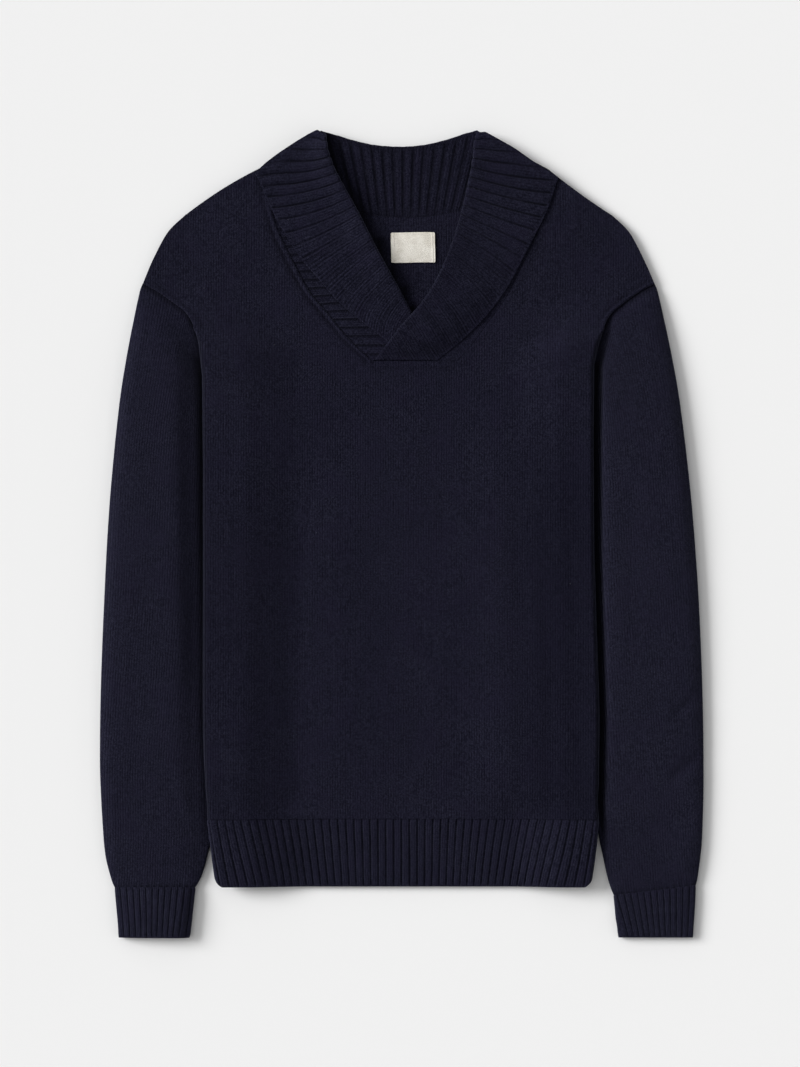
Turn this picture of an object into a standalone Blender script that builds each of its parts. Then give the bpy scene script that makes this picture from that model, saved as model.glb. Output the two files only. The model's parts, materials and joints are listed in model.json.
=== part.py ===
"""A shawl collar sweater that lies flat, front up, with its sides folded under.

Metres, +Z up. The sweater lies on the plane z = 0 with its collar towards +Y, and the origin
is the middle of the rectangle that it covers. Tables and thicknesses below are in millimetres.
Left and right are as seen from above. Every piece is a wall of knit: a sheet through its
sections, thickened to both sides.
"""

import math
from collections import namedtuple

import bpy
import bmesh

MM = 0.001

# Cloth
JERSEY = 2.2           # wall of the plain knit
RIB = 2.6              # wall of the ribbed knit
LAYER_GAP = 0.6        # air between two plain layers that lie on each other
RIB_LAYER_GAP = 0.4    # air between two ribbed layers
SEAM_GAP = 0.3         # between two pieces at their seam
JERSEY_PITCH = JERSEY + LAYER_GAP
RIB_PITCH = RIB + RIB_LAYER_GAP

# Heights of what the body lies on
SLEEVE_TOP = JERSEY_PITCH + JERSEY          # a sleeve pressed flat: two plain walls
FLAP_FLOOR = SLEEVE_TOP + SEAM_GAP          # the folded sides lie on the sleeves
BODY_LIFT = FLAP_FLOOR + 2 * JERSEY_PITCH + 0.1
FLAP_REST = 2 * JERSEY_PITCH + 0.1          # a panel over the flap where the flap lies on the ground
NECK_LIFT = RIB_PITCH                       # the back panel over the fallen part of the back collar

# Layout
HEM_SEAM_Y = -270.2
HEM_END_Y = -334.9
CUFF_SEAM_Y = -335.2
CUFF_END_Y = -383.2
BASE_LEFT_X = -28.0    # ends of the short seam at the bottom of the V
BASE_RIGHT_X = 53.7
NECK_LIFT_END_Y = 241.8
NECK_LIFT_START_Y = 280.7

# Where the columns of a panel stand between its side edge (0) and its neck edge (1), and how far
# its side lift has come there: full over the sleeve, less over the flap alone, none further in
EDGE_COLUMNS = (0.0, 0.06, 0.19, 0.37, 0.59, 0.80, 1.0)
BODY_PROFILE = (BODY_LIFT, BODY_LIFT, BODY_LIFT, FLAP_REST, 0.0, 0.0, 0.0)
FLAP_PROFILE = (FLAP_FLOOR, FLAP_FLOOR, FLAP_FLOOR, 0.0)
CENTRE_COLUMNS = 8
BEND_STEPS = 4

# Upper body: the shoulder line first, then down the neck edge and down the shoulder and armhole.
# side_x is half the distance between the two sides, and lift the share of the side lift.
Yoke = namedtuple("Yoke", "left_neck_x left_neck_y right_neck_x right_neck_y side_x side_y lift")
YOKE = (
    Yoke(-132.5, 347.2, 139.2, 345.3, 202.8, 301.6, 0.00),
    Yoke(-128.3, 330.5, 139.2, 331.0, 215.2, 290.2, 0.00),
    Yoke(-124.0, 314.0, 138.2, 316.8, 223.3, 278.8, 0.00),
    Yoke(-117.6, 298.0, 134.0, 299.5, 234.7, 256.0, 0.00),
    Yoke(-110.7, 282.6, 127.8, 282.6, 242.7, 237.0, 0.00),
    Yoke(-96.4, 254.1, 113.5, 252.2, 227.5, 228.5, 0.05),
    Yoke(-83.1, 229.4, 100.2, 225.6, 212.8, 218.0, 0.15),
    Yoke(-67.0, 208.5, 84.1, 202.8, 200.9, 208.0, 0.30),
    Yoke(-49.9, 184.8, 68.9, 181.9, 194.8, 197.1, 0.55),
    Yoke(BASE_LEFT_X, 163.9, BASE_RIGHT_X, 163.9, 190.7, 181.5, 1.00),
)
ARMHOLE_TOP_ROW = 4
CORNER_ROW = 9         # from here down the sides are folded under

# Lower body: height, and half the width from fold to fold
Waist = namedtuple("Waist", "y side_x lift")
WAIST = (
    Waist(153.4, 190.5, 1.0),
    Waist(117.3, 190.3, 1.0),
    Waist(69.8, 190.0, 1.0),
    Waist(12.8, 189.8, 1.0),
    Waist(-53.7, 189.5, 1.0),
    Waist(-120.2, 189.2, 1.0),
    Waist(-177.2, 188.6, 1.0),
    Waist(-224.7, 187.2, 1.0),
    Waist(HEM_SEAM_Y + 0.5 * SEAM_GAP, 186.4, 1.0),
)
HEM = (
    Waist(HEM_SEAM_Y - 0.5 * SEAM_GAP, 186.4, 1.0),
    Waist(-291.2, 184.8, 1.0),
    Waist(-310.2, 182.4, 1.0),
    Waist(HEM_END_Y, 179.6, 1.0),
)

# The collar's limbs, a row for each row of the yoke: its folded inner edge and its free outer edge
Limb = namedtuple("Limb", "fold_x fold_y free_x free_y cross")
LEFT_LIMB = (
    Limb(-78.4, 383.4, -140.1, 344.4, 0.0),
    Limb(-73.2, 374.0, -135.5, 330.0, 0.0),
    Limb(-67.9, 364.3, -130.6, 315.9, 0.0),
    Limb(-61.8, 350.6, -124.0, 303.0, 0.0),
    Limb(-55.6, 336.8, -117.3, 290.2, 0.0),
    Limb(-39.4, 303.5, -102.1, 264.6, 0.0),
    Limb(-21.4, 268.4, -84.1, 241.8, 0.0),
    Limb(-2.4, 234.2, -61.3, 219.0, 0.0),
    Limb(13.7, 203.7, -37.5, 198.1, 0.0),
    Limb(20.0, 189.0, -2.0, 194.0, 0.0),
)
# cross is the share of the lift that takes the right limb over the left one
RIGHT_LIMB = (
    Limb(73.6, 383.4, 149.6, 337.7, 0.0),
    Limb(70.9, 371.6, 146.7, 325.2, 0.0),
    Limb(67.9, 359.6, 143.0, 313.0, 0.0),
    Limb(64.8, 343.0, 138.0, 302.5, 0.0),
    Limb(61.3, 326.3, 132.5, 292.1, 0.0),
    Limb(51.8, 292.1, 118.3, 265.5, 0.3),
    Limb(39.4, 257.9, 101.2, 235.1, 0.7),
    Limb(22.3, 225.6, 81.2, 207.6, 1.0),
    Limb(-3.3, 195.2, 57.5, 183.8, 1.0),
    Limb(-24.5, 168.4, 30.9, 168.0, 0.65),
)
CROSS_LIFT = 2 * RIB_PITCH
CROSS_START = 0.45     # share of the stand's width in which the right limb climbs

# The collar behind the neck, from the left shoulder to the right one
Stand = namedtuple("Stand", "fold_x fold_y free_x free_y")
BACK_COLLAR = (
    Stand(-75.0, 382.6, -139.0, 341.5),
    Stand(-62.5, 379.2, -119.0, 327.0),
    Stand(-46.0, 374.0, -86.0, 308.0),
    Stand(-25.0, 369.4, -47.0, 295.0),
    Stand(0.0, 367.8, 3.3, 290.5),
    Stand(23.0, 369.8, 53.0, 295.0),
    Stand(43.0, 374.6, 92.0, 308.0),
    Stand(58.5, 379.6, 125.0, 327.0),
    Stand(70.5, 382.6, 147.0, 337.0),
)
NECK_DIP = 46.5        # how far the back neck seam hangs below its ends at the shoulders

# Sleeves: outer and inner edge, as distances from the middle, and how far the sleeve bulges
Sleeve = namedtuple("Sleeve", "outer_x outer_y inner_x inner_y bulge seam_shape")
SLEEVE = (
    Sleeve(242.7, 236.6, 163.0, 172.0, 1.2, 1.0),
    Sleeve(251.8, 202.8, 162.4, 134.4, 2.4, 0.6),
    Sleeve(259.3, 164.8, 159.6, 103.1, 2.6, 0.3),
    Sleeve(265.5, 126.8, 158.7, 79.3, 2.6, 0.1),
    Sleeve(272.2, 69.8, 158.7, 41.3, 2.6, 0.0),
    Sleeve(277.4, 12.8, 159.6, -6.2, 2.6, 0.0),
    Sleeve(282.1, -63.2, 162.9, -74.6, 2.6, 0.0),
    Sleeve(285.5, -148.7, 170.5, -154.4, 2.6, 0.0),
    Sleeve(286.4, -224.7, 179.1, -226.6, 2.6, 0.0),
    Sleeve(284.5, -281.7, 186.2, -283.6, 2.6, 0.0),
    Sleeve(282.6, -305.4, 187.6, -305.4, 2.4, 0.0),
    Sleeve(279.3, -324.4, 192.4, -324.4, 2.0, 0.0),
    Sleeve(276.9, CUFF_SEAM_Y + 0.3, 195.7, CUFF_SEAM_Y + 0.3, 1.6, 0.0),
)
CUFF = (
    Sleeve(275.2, CUFF_SEAM_Y, 196.6, CUFF_SEAM_Y, 1.2, 0.0),
    Sleeve(274.0, -352.0, 199.0, -352.0, 1.0, 0.0),
    Sleeve(273.2, -368.0, 200.6, -368.0, 0.8, 0.0),
    Sleeve(272.4, CUFF_END_Y, 202.4, CUFF_END_Y, 0.6, 0.0),
)
# Columns across a sleeve from its outer edge (0) to its inner edge (1), and the bulge there
CORNER_TUCK = 3.5      # how far the sleeve reaches under the body's folded edge at the armhole
SLEEVE_COLUMNS = (0.0, 0.14, 0.28, 0.41, 0.53, 0.72, 0.86, 1.0)
BULGE_PROFILE = (0.0, 0.6, 0.95, 1.0, 0.7, 0.0, 0.0, 0.0)
# At the armhole the sleeve's two walls rise with the edges of the panels
ARMHOLE_RISE_UPPER = (0.0, 0.4, 1.4, 2.6, 2.0, 0.0, 0.0, 0.0)
ARMHOLE_RISE_LOWER = (0.0, 0.2, 0.8, 1.4, 1.0, 0.0, 0.0, 0.0)

# The sweater was laid with a slight lean: its middle line moves across by this much
LEAN_TOP_X = -2.9
LEAN_BOTTOM_X = 0.0
LEAN_TOP_Y = 260.0
LEAN_BOTTOM_Y = -60.0

# Woven label inside the back neck
LABEL_WIDTH = 41.8
LABEL_HEIGHT = 28.5
LABEL_X = 11.0
LABEL_Y = 271.3
LABEL_WALL = 0.6

COLOURS = {
    "navy_jersey": ((0.010, 0.011, 0.020), 0.95),
    "navy_rib": ((0.009, 0.010, 0.018), 0.95),
    "cream_label": ((0.62, 0.59, 0.52), 0.80),
}


def clamp(value):
    return max(0.0, min(1.0, value))


def lerp(a, b, t):
    return a + (b - a) * t


def middle_x(y):
    """The middle line of the laid sweater at a height."""
    t = clamp((y - LEAN_BOTTOM_Y) / (LEAN_TOP_Y - LEAN_BOTTOM_Y))
    return lerp(LEAN_BOTTOM_X, LEAN_TOP_X, t)


def neck_lift(x, y):
    """How far the back collar, folded behind, lifts the back panel at a point."""
    down = clamp((y - NECK_LIFT_END_Y) / (NECK_LIFT_START_Y - NECK_LIFT_END_Y))
    across = clamp((205.0 - abs(x)) / 40.0)
    return NECK_LIFT * down * across


def start_scene():
    for old in list(bpy.data.objects):
        bpy.data.objects.remove(old, do_unlink=True)
    collection = bpy.data.collections.new("shawl_collar_sweater")
    bpy.context.scene.collection.children.link(collection)
    return collection


def make_material(name):
    colour, roughness = COLOURS[name]
    material = bpy.data.materials.new(name)
    material.use_nodes = True
    shader = material.node_tree.nodes["Principled BSDF"]
    shader.inputs["Base Color"].default_value = (*colour, 1.0)
    shader.inputs["Roughness"].default_value = roughness
    shader.inputs["Metallic"].default_value = 0.0
    return material


class Sheet:
    """The middle surface of a piece, as strips of points joined into faces, then thickened."""

    def __init__(self, name, wall, material):
        self.name = name
        self.wall = wall
        self.material = material
        self.mesh = bmesh.new()

    def strip(self, rows, closed=False):
        """Join rows of points, all of the same length, into faces. A closed strip is a tube."""
        made = []
        for row in rows:
            made.append([self.mesh.verts.new([v * MM for v in point]) for point in row])
        count = len(rows[0])
        last = count if closed else count - 1
        for upper, lower in zip(made, made[1:]):
            for i in range(last):
                j = (i + 1) % count
                self.mesh.faces.new((upper[i], lower[i], lower[j], upper[j]))

    def finish(self, collection):
        """Join the strips where they share points, and give the sheet its wall."""
        bmesh.ops.remove_doubles(self.mesh, verts=self.mesh.verts, dist=0.00002)
        bmesh.ops.recalc_face_normals(self.mesh, faces=self.mesh.faces)
        data = bpy.data.meshes.new(self.name)
        self.mesh.to_mesh(data)
        self.mesh.free()
        data.materials.append(self.material)
        data.shade_smooth()
        piece = bpy.data.objects.new(self.name, data)
        collection.objects.link(piece)
        wall = piece.modifiers.new("wall", "SOLIDIFY")
        wall.thickness = self.wall * MM
        wall.offset = 0.0
        wall.use_even_offset = True
        return piece


def side_rows(side, rows, bend_radius):
    """One half of the body: for each row, its points from the side edge to the neck edge."""
    result = []
    for index, row in enumerate(rows):
        if isinstance(row, Yoke):
            if side < 0:
                neck = (row.left_neck_x, row.left_neck_y)
            else:
                neck = (row.right_neck_x, row.right_neck_y)
            edge_y = row.side_y
            folded = index >= CORNER_ROW
        else:
            neck = (BASE_LEFT_X if side < 0 else BASE_RIGHT_X, row.y)
            edge_y = row.y
            folded = True
        inset = bend_radius if folded else 0.0
        edge = (middle_x(edge_y) + side * (row.side_x - inset), edge_y)
        result.append([(lerp(edge[0], neck[0], c), lerp(edge[1], neck[1], c)) for c in EDGE_COLUMNS])
    return result


def hanging_point(left, right, share, dip):
    """A point on the arc that hangs between two points, at a share of the way across."""
    hang = dip * (1.0 - (2.0 * share - 1.0) ** 2)
    return (lerp(left[0], right[0], share), lerp(left[1], right[1], share) - hang)


def body_panel(name, wall, layer, rows, opening, material, collection):
    """A front (layer 1) or back (layer 0) panel, or its hem rib, with its folded sides."""
    pitch = JERSEY_PITCH
    # The outermost layer's fold sets where the straight part of every layer begins
    widest_bend = 1.5 * JERSEY_PITCH + 0.5 * wall
    sheet = Sheet(name, wall, material)
    first_folded = CORNER_ROW if isinstance(rows[0], Yoke) else 0
    flap_layer = 1 - layer
    sides = {}
    for side in (-1, 1):
        plan = side_rows(side, rows, widest_bend)
        top = []
        flap = []
        for index, (row, points) in enumerate(zip(rows, plan)):
            heights = []
            for (x, y), profile in zip(points, BODY_PROFILE):
                floor = row.lift * profile + neck_lift(x, y) + layer * pitch
                heights.append((x, y, floor + 0.5 * wall))
            top.append(heights)
            if index < first_folded:
                continue
            under = []
            for (x, y), profile in zip(points, FLAP_PROFILE):
                floor = row.lift * profile + flap_layer * pitch
                under.append((x, y, floor + 0.5 * wall))
            flap.append(folded_side(side, heights[0], under))
        sheet.strip(top)
        sheet.strip(flap)
        sides[side] = top
    centre = []
    for index, row in enumerate(rows):
        if opening and index < CORNER_ROW:
            continue
        left = sides[-1][index][-1]
        right = sides[1][index][-1]
        dip = NECK_DIP * (1.0 - index / CORNER_ROW) if isinstance(row, Yoke) else 0.0
        line = [left]
        for step in range(1, CENTRE_COLUMNS):
            x, y = hanging_point(left, right, step / CENTRE_COLUMNS, dip)
            line.append((x, y, neck_lift(x, y) + layer * pitch + 0.5 * wall))
        line.append(right)
        centre.append(line)
    sheet.strip(centre)
    return sheet.finish(collection)


def folded_side(side, top_point, under):
    """A row of the folded side: from the top layer's edge round the bend to the flap's end."""
    x, y, top_z = top_point
    low_z = under[0][2]
    radius = 0.5 * (top_z - low_z)
    row = [top_point]
    for step in range(1, BEND_STEPS):
        angle = math.pi * step / BEND_STEPS
        row.append((x + side * radius * math.sin(angle), y, low_z + radius * (1.0 + math.cos(angle))))
    return row + under


def seam_line(side):
    """The armhole seam from the shoulder down, and the hidden stretch under the body."""
    points = []
    for row in YOKE[ARMHOLE_TOP_ROW:CORNER_ROW + 1]:
        points.append((middle_x(row.side_y) + side * row.side_x, row.side_y))
    first = SLEEVE[0]
    end = (middle_x(first.inner_y) + side * first.inner_x, first.inner_y)
    corner = (points[-1][0] - side * CORNER_TUCK, points[-1][1] + 0.5 * CORNER_TUCK)
    points[-1] = corner
    points.append((lerp(corner[0], end[0], 0.5), lerp(corner[1], end[1], 0.5)))
    points.append(end)
    return points


def sleeve_plan(side, row, seam, inset):
    """A sleeve's section from above: its columns, on the armhole's curve near the armhole."""
    outer = (middle_x(row.outer_y) + side * row.outer_x, row.outer_y)
    inner = (middle_x(row.inner_y) + side * row.inner_x, row.inner_y)
    # At the armhole the sleeve stays clear of the panels' edges
    clear = (side * SEAM_GAP, -1.5 * SEAM_GAP) if row.seam_shape == 1.0 else (0.0, 0.0)
    plan = []
    for column, share in enumerate(SLEEVE_COLUMNS):
        curve_x = seam[column][0] - lerp(seam[0][0], seam[-1][0], share)
        curve_y = seam[column][1] - lerp(seam[0][1], seam[-1][1], share)
        x = lerp(outer[0], inner[0], share) + row.seam_shape * curve_x + clear[0]
        y = lerp(outer[1], inner[1], share) + row.seam_shape * curve_y + clear[1]
        plan.append((x, y))
    plan[0] = toward(plan[0], plan[1], inset)
    plan[-1] = toward(plan[-1], plan[-2], inset)
    return plan


def bend(centre, outward, radius, start_angle):
    """The points between two walls where the cloth turns: half a circle that stands on edge."""
    points = []
    for step in range(1, BEND_STEPS):
        angle = start_angle + math.pi * step / BEND_STEPS
        reach = abs(radius * math.sin(angle))
        points.append((centre[0] + outward[0] * reach, centre[1] + outward[1] * reach,
                       centre[2] - radius * math.cos(angle)))
    return points


def sleeve_rows(side, rows, wall, pitch):
    """Closed loops round a sleeve that is pressed flat, from the armhole to the wrist."""
    seam = seam_line(side)
    radius = 0.5 * pitch
    low = 0.5 * wall
    loops = []
    for row in rows:
        plan = sleeve_plan(side, row, seam, radius + low)
        length = math.dist(plan[0], plan[-1])
        inward = ((plan[-1][0] - plan[0][0]) / length, (plan[-1][1] - plan[0][1]) / length)
        outward = (-inward[0], -inward[1])
        near_seam = row.seam_shape ** 2
        lower = [(x, y, low + near_seam * rise) for (x, y), rise in zip(plan, ARMHOLE_RISE_LOWER)]
        upper = []
        for (x, y), bulge, rise in zip(plan, BULGE_PROFILE, ARMHOLE_RISE_UPPER):
            upper.append((x, y, low + pitch + row.bulge * bulge + near_seam * rise))
        middle = low + radius
        loop = lower
        loop += bend((*plan[-1], middle), inward, radius, 0.0)
        loop += reversed(upper)
        loop += bend((*plan[0], middle), outward, radius, math.pi)
        loops.append(loop)
    return loops


def tube(name, side, rows, wall, pitch, material, collection):
    sheet = Sheet(name, wall, material)
    sheet.strip(sleeve_rows(side, rows, wall, pitch), closed=True)
    return sheet.finish(collection)


def toward(start, end, distance):
    """The point that lies a distance from start on the way to end."""
    share = distance / math.dist(start, end)
    return (lerp(start[0], end[0], share), lerp(start[1], end[1], share))


def folded_strip_row(seam, fold, free, floor, columns=5, upward=True, climb=None):
    """A section of the collar: from its seam to the fold, round it, and back to the free edge."""
    radius = 0.5 * RIB_PITCH
    turn = toward(fold, seam, radius + 0.5 * RIB)
    start = toward(seam, fold, SEAM_GAP + 0.1)
    step_up = RIB_PITCH if upward else -RIB_PITCH
    length = math.dist(turn, fold)
    out = ((fold[0] - turn[0]) / length, (fold[1] - turn[1]) / length)
    row = []
    for step in range(columns):
        t = step / (columns - 1)
        x, y = lerp(start[0], turn[0], t), lerp(start[1], turn[1], t)
        row.append((x, y, floor(x, y) + (climb(t) if climb else 0.0)))
    base = row[-1][2]
    for step in range(1, BEND_STEPS):
        angle = math.pi * step / BEND_STEPS
        reach = radius * math.sin(angle)
        rise = 0.5 * step_up * (1.0 - math.cos(angle))
        row.append((turn[0] + out[0] * reach, turn[1] + out[1] * reach, base + rise))
    for step in range(columns):
        t = step / (columns - 1)
        x, y = lerp(turn[0], free[0], t), lerp(turn[1], free[1], t)
        row.append((x, y, floor(x, y) + step_up + (climb(1.0 - t) if climb else 0.0)))
    return row


def collar_limb(name, side, limb, material, collection):
    """A limb of the shawl collar: its stand lies below, and its fall lies on it and on the front."""
    sheet = Sheet(name, RIB, material)
    rows = []
    for yoke, section in zip(YOKE, limb):
        if side < 0:
            seam = (yoke.left_neck_x, yoke.left_neck_y)
        else:
            seam = (yoke.right_neck_x, yoke.right_neck_y)
        fold = (section.fold_x, section.fold_y)
        free = (section.free_x, section.free_y)
        lift = section.cross * CROSS_LIFT

        def floor(x, y):
            return neck_lift(x, y) + RIB_PITCH + 0.5 * RIB

        def climb(t, lift=lift):
            return lift * clamp(t / CROSS_START)

        rows.append(folded_strip_row(seam, fold, free, floor, climb=climb))
    sheet.strip(rows)
    return sheet.finish(collection)


def collar_back(name, material, collection):
    """The collar behind the neck: the stand shows inside, and the fall lies behind it."""
    sheet = Sheet(name, RIB, material)
    left = (YOKE[0].left_neck_x, YOKE[0].left_neck_y)
    right = (YOKE[0].right_neck_x, YOKE[0].right_neck_y)
    rows = []
    for index, section in enumerate(BACK_COLLAR):
        seam = hanging_point(left, right, index / (len(BACK_COLLAR) - 1), NECK_DIP)
        fold = (section.fold_x, section.fold_y)
        free = (section.free_x, section.free_y)
        rows.append(folded_strip_row(seam, fold, free, lambda x, y: RIB_PITCH + 0.5 * RIB, upward=False))
    sheet.strip(rows)
    return sheet.finish(collection)


def neck_label(name, material, collection):
    """The label lies on the inside of the back panel, just clear of it."""
    sheet = Sheet(name, LABEL_WALL, material)
    rows = []
    for down in range(5):
        y = LABEL_Y + LABEL_HEIGHT * (0.5 - down / 4)
        line = []
        for across in range(4):
            x = LABEL_X + LABEL_WIDTH * (across / 3 - 0.5)
            line.append((x, y, neck_lift(x, y) + JERSEY + 0.4 + 0.5 * LABEL_WALL))
        rows.append(line)
    sheet.strip(rows)
    return sheet.finish(collection)


def build():
    collection = start_scene()
    jersey = make_material("navy_jersey")
    rib = make_material("navy_rib")
    cream = make_material("cream_label")
    body_panel("back_panel", JERSEY, 0, YOKE + WAIST, False, jersey, collection)
    body_panel("front_panel", JERSEY, 1, YOKE + WAIST, True, jersey, collection)
    body_panel("hem_back", JERSEY, 0, HEM, False, rib, collection)
    body_panel("hem_front", JERSEY, 1, HEM, False, rib, collection)
    for side, word in ((-1, "left"), (1, "right")):
        tube("sleeve_" + word, side, SLEEVE, JERSEY, JERSEY_PITCH, jersey, collection)
        tube("cuff_" + word, side, CUFF, RIB, RIB_PITCH, rib, collection)
    collar_limb("collar_left", -1, LEFT_LIMB, rib, collection)
    collar_limb("collar_right", 1, RIGHT_LIMB, rib, collection)
    collar_back("collar_back", rib, collection)
    neck_label("label", cream, collection)


build()
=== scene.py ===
# %% [markdown]
# # A shawl collar sweater, laid flat
# The sweater lies on its back with its sides and sleeves straightened by hand. Everything on it is
# knitted: plain jersey for the body and sleeves, rib for the hem, the cuffs and the collar. The
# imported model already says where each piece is, so this lesson loads it first and then makes every
# piece again with its real surface.

# %% Load the frame
import json
import math
from collections import namedtuple

import bpy
import numpy as np
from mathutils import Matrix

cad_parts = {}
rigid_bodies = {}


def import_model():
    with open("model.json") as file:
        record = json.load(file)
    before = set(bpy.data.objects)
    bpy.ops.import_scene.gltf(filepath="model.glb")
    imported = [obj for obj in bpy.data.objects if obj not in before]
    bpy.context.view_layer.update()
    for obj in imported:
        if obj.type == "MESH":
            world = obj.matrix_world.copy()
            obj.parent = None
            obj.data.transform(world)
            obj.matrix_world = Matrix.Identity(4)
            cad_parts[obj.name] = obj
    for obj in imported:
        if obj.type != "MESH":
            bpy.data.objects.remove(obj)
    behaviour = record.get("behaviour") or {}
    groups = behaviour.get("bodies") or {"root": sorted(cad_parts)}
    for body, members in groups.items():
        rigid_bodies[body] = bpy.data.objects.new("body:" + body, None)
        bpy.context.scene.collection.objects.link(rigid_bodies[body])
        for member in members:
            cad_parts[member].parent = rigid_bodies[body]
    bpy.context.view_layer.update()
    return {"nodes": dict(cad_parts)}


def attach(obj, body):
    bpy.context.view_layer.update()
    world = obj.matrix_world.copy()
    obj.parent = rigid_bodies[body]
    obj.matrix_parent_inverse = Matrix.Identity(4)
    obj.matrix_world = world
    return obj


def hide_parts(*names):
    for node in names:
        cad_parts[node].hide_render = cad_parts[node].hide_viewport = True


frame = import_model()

print("pieces in the frame:", len(frame["nodes"]))

# %% [markdown]
# ## The cloth and the layout
# Knit has a wall, and layers that lie on each other keep a little air between them. The sizes below
# are in millimetres and are the model's own, because a visible piece has to lie where its solid
# lies. The rib's wall is a thin skin that waves up and down, which is what a rib is.

# %% Sizes of the cloth, in millimetres
MM = 0.001
JERSEY = 2.2             # wall of the plain knit
RIB = 2.6                # room that the ribbed knit takes
RIB_SKIN = 1.3           # its wall, which waves within that room
JERSEY_PITCH = 2.8       # from one plain layer to the next
RIB_PITCH = 3.0          # from one ribbed layer to the next
WALE = 2.4               # width of a column of stitches
COURSE = 1.9             # height of a row of stitches

BODY_LIFT = 11.0         # how far the folded sides lift the body at its side folds
FLAP_REST = 5.7          # and at their inner ends, which lie on the floor
FLAP_FLOOR = BODY_LIFT - FLAP_REST     # height of the folded sides where they lie on the sleeves
NECK_LIFT = 3.0          # how far the collar folded down behind the neck lifts the back panel,
NECK_LIFT_Y = (241.8, 280.7)           # starting at the first of these heights, full at the second,
NECK_LIFT_X = (205.0, 165.0)           # and the same with the distance from the middle
EDGE_INSET = 5.3         # how far in from a side fold the flat part of a layer ends

BASE_LEFT_X = -28.0      # ends of the short seam at the bottom of the V
BASE_RIGHT_X = 53.7
HEM_SEAM_Y = -270.2
HEM_END_Y = -334.9
CUFF_SEAM_Y = -335.2
CUFF_END_Y = -383.2
print(f"walls: plain knit {JERSEY} mm, rib {RIB_SKIN} mm waved within {RIB} mm")

# %% Outlines of the body: the shoulder line first, then down the neck edge and down the armhole
# side_x is the distance from the middle line, and lift the share of the side's lift in that row
Yoke = namedtuple("Yoke", "left_neck_x left_neck_y right_neck_x right_neck_y side_x side_y lift")
YOKE = (
    Yoke(-132.5, 347.2, 139.2, 345.3, 202.8, 301.6, 0.00),
    Yoke(-128.3, 330.5, 139.2, 331.0, 215.2, 290.2, 0.00),
    Yoke(-124.0, 314.0, 138.2, 316.8, 223.3, 278.8, 0.00),
    Yoke(-120.6, 298.0, 134.0, 299.5, 234.7, 256.0, 0.00),
    Yoke(-114.6, 282.6, 127.8, 282.6, 242.7, 237.0, 0.00),
    Yoke(-100.4, 254.1, 113.5, 252.2, 227.5, 228.5, 0.05),
    Yoke(-86.8, 229.4, 100.2, 225.6, 212.8, 218.0, 0.15),
    Yoke(-69.4, 208.5, 84.1, 202.8, 200.9, 208.0, 0.30),
    Yoke(-49.9, 184.8, 68.9, 181.9, 194.8, 197.1, 0.55),
    Yoke(BASE_LEFT_X, 163.9, BASE_RIGHT_X, 163.9, 190.7, 181.5, 1.00),
)
SHOULDER_ROW = 4         # where the shoulder line ends and the armhole begins
CORNER_ROW = 9           # from here down the sides are folded under


def straight_rows(pairs):
    """Rows below the V, from pairs of a height and half the width from fold to fold."""
    return tuple(Yoke(BASE_LEFT_X, y, BASE_RIGHT_X, y, x, y, 1.0) for y, x in pairs)


BODY = YOKE + straight_rows((
    (153.4, 190.5), (117.3, 190.3), (69.8, 190.0), (12.8, 189.8), (-53.7, 189.5),
    (-120.2, 189.2), (-177.2, 188.6), (-224.7, 187.0), (HEM_SEAM_Y - 0.4, 185.6)))
HEM = straight_rows((
    (HEM_SEAM_Y - 0.15, 185.6), (-291.2, 183.2), (-310.2, 181.0), (HEM_END_Y, 178.4)))
print(f"body: {2 * BODY[-1].side_x:.0f} mm wide at the hem, {YOKE[0].left_neck_y - HEM_END_Y:.0f} mm long")

# %% [markdown]
# ## Lines and grids
# Drawn outlines need few points if the computer draws the smooth line between them. A cubic
# line through the rows does that, and keeps a corner where a seam turns. Each piece then starts as
# a plain grid, whose points are laid along such lines: a grid is what a knitted piece is, with
# wales across and courses down.

# %% A smooth line through a table
def curve(rows, where, corners=()):
    """Points of the smooth line through a table's rows, at row numbers that may lie between. At the
    rows in corners it turns sharply."""
    rows = np.asarray(rows, float).reshape(len(rows), -1)
    last = len(rows) - 1
    where = np.clip(np.asarray(where, float), 0, last)
    start = np.minimum(where.astype(int), last - 1)
    t = (where - start)[:, None]
    arriving = np.gradient(rows, axis=0)
    leaving = arriving.copy()
    for corner in corners:
        arriving[corner] = rows[corner] - rows[corner - 1]
        leaving[corner] = rows[corner + 1] - rows[corner]
    bend_in = t * (1 - t) ** 2 * leaving[start]
    bend_out = t * t * (t - 1) * arriving[start + 1]
    ease = t * t * (3 - 2 * t)
    return rows[start] + ease * (rows[start + 1] - rows[start]) + bend_in + bend_out


# %% A height that never overshoots its table
def profile(where, places, heights):
    """A height that follows a short table without overshooting it."""
    places, heights = np.asarray(places, float), np.asarray(heights, float)
    slopes = np.diff(heights) / np.diff(places)
    before, after = slopes[:-1], slopes[1:]
    both = before * after
    tangents = np.zeros(len(places))
    tangents[1:-1] = np.where(both > 0, 2 * both / np.where(both > 0, before + after, 1), 0)
    where = np.clip(where, places[0], places[-1])
    i = np.clip(np.searchsorted(places, where, side="right") - 1, 0, len(places) - 2)
    step = places[i + 1] - places[i]
    t = (where - places[i]) / step
    ease = t * t * (3 - 2 * t)
    bends = step * t * (1 - t) * ((1 - t) * tangents[i] - t * tangents[i + 1])
    return heights[i] + ease * (heights[i + 1] - heights[i]) + bends


# %% Rows that stand evenly along a line
def line_of(rows, name):
    """The points of one of a table's lines, such as its outer or its fold line."""
    return [(getattr(row, name + "_x"), getattr(row, name + "_y")) for row in rows]


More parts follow.
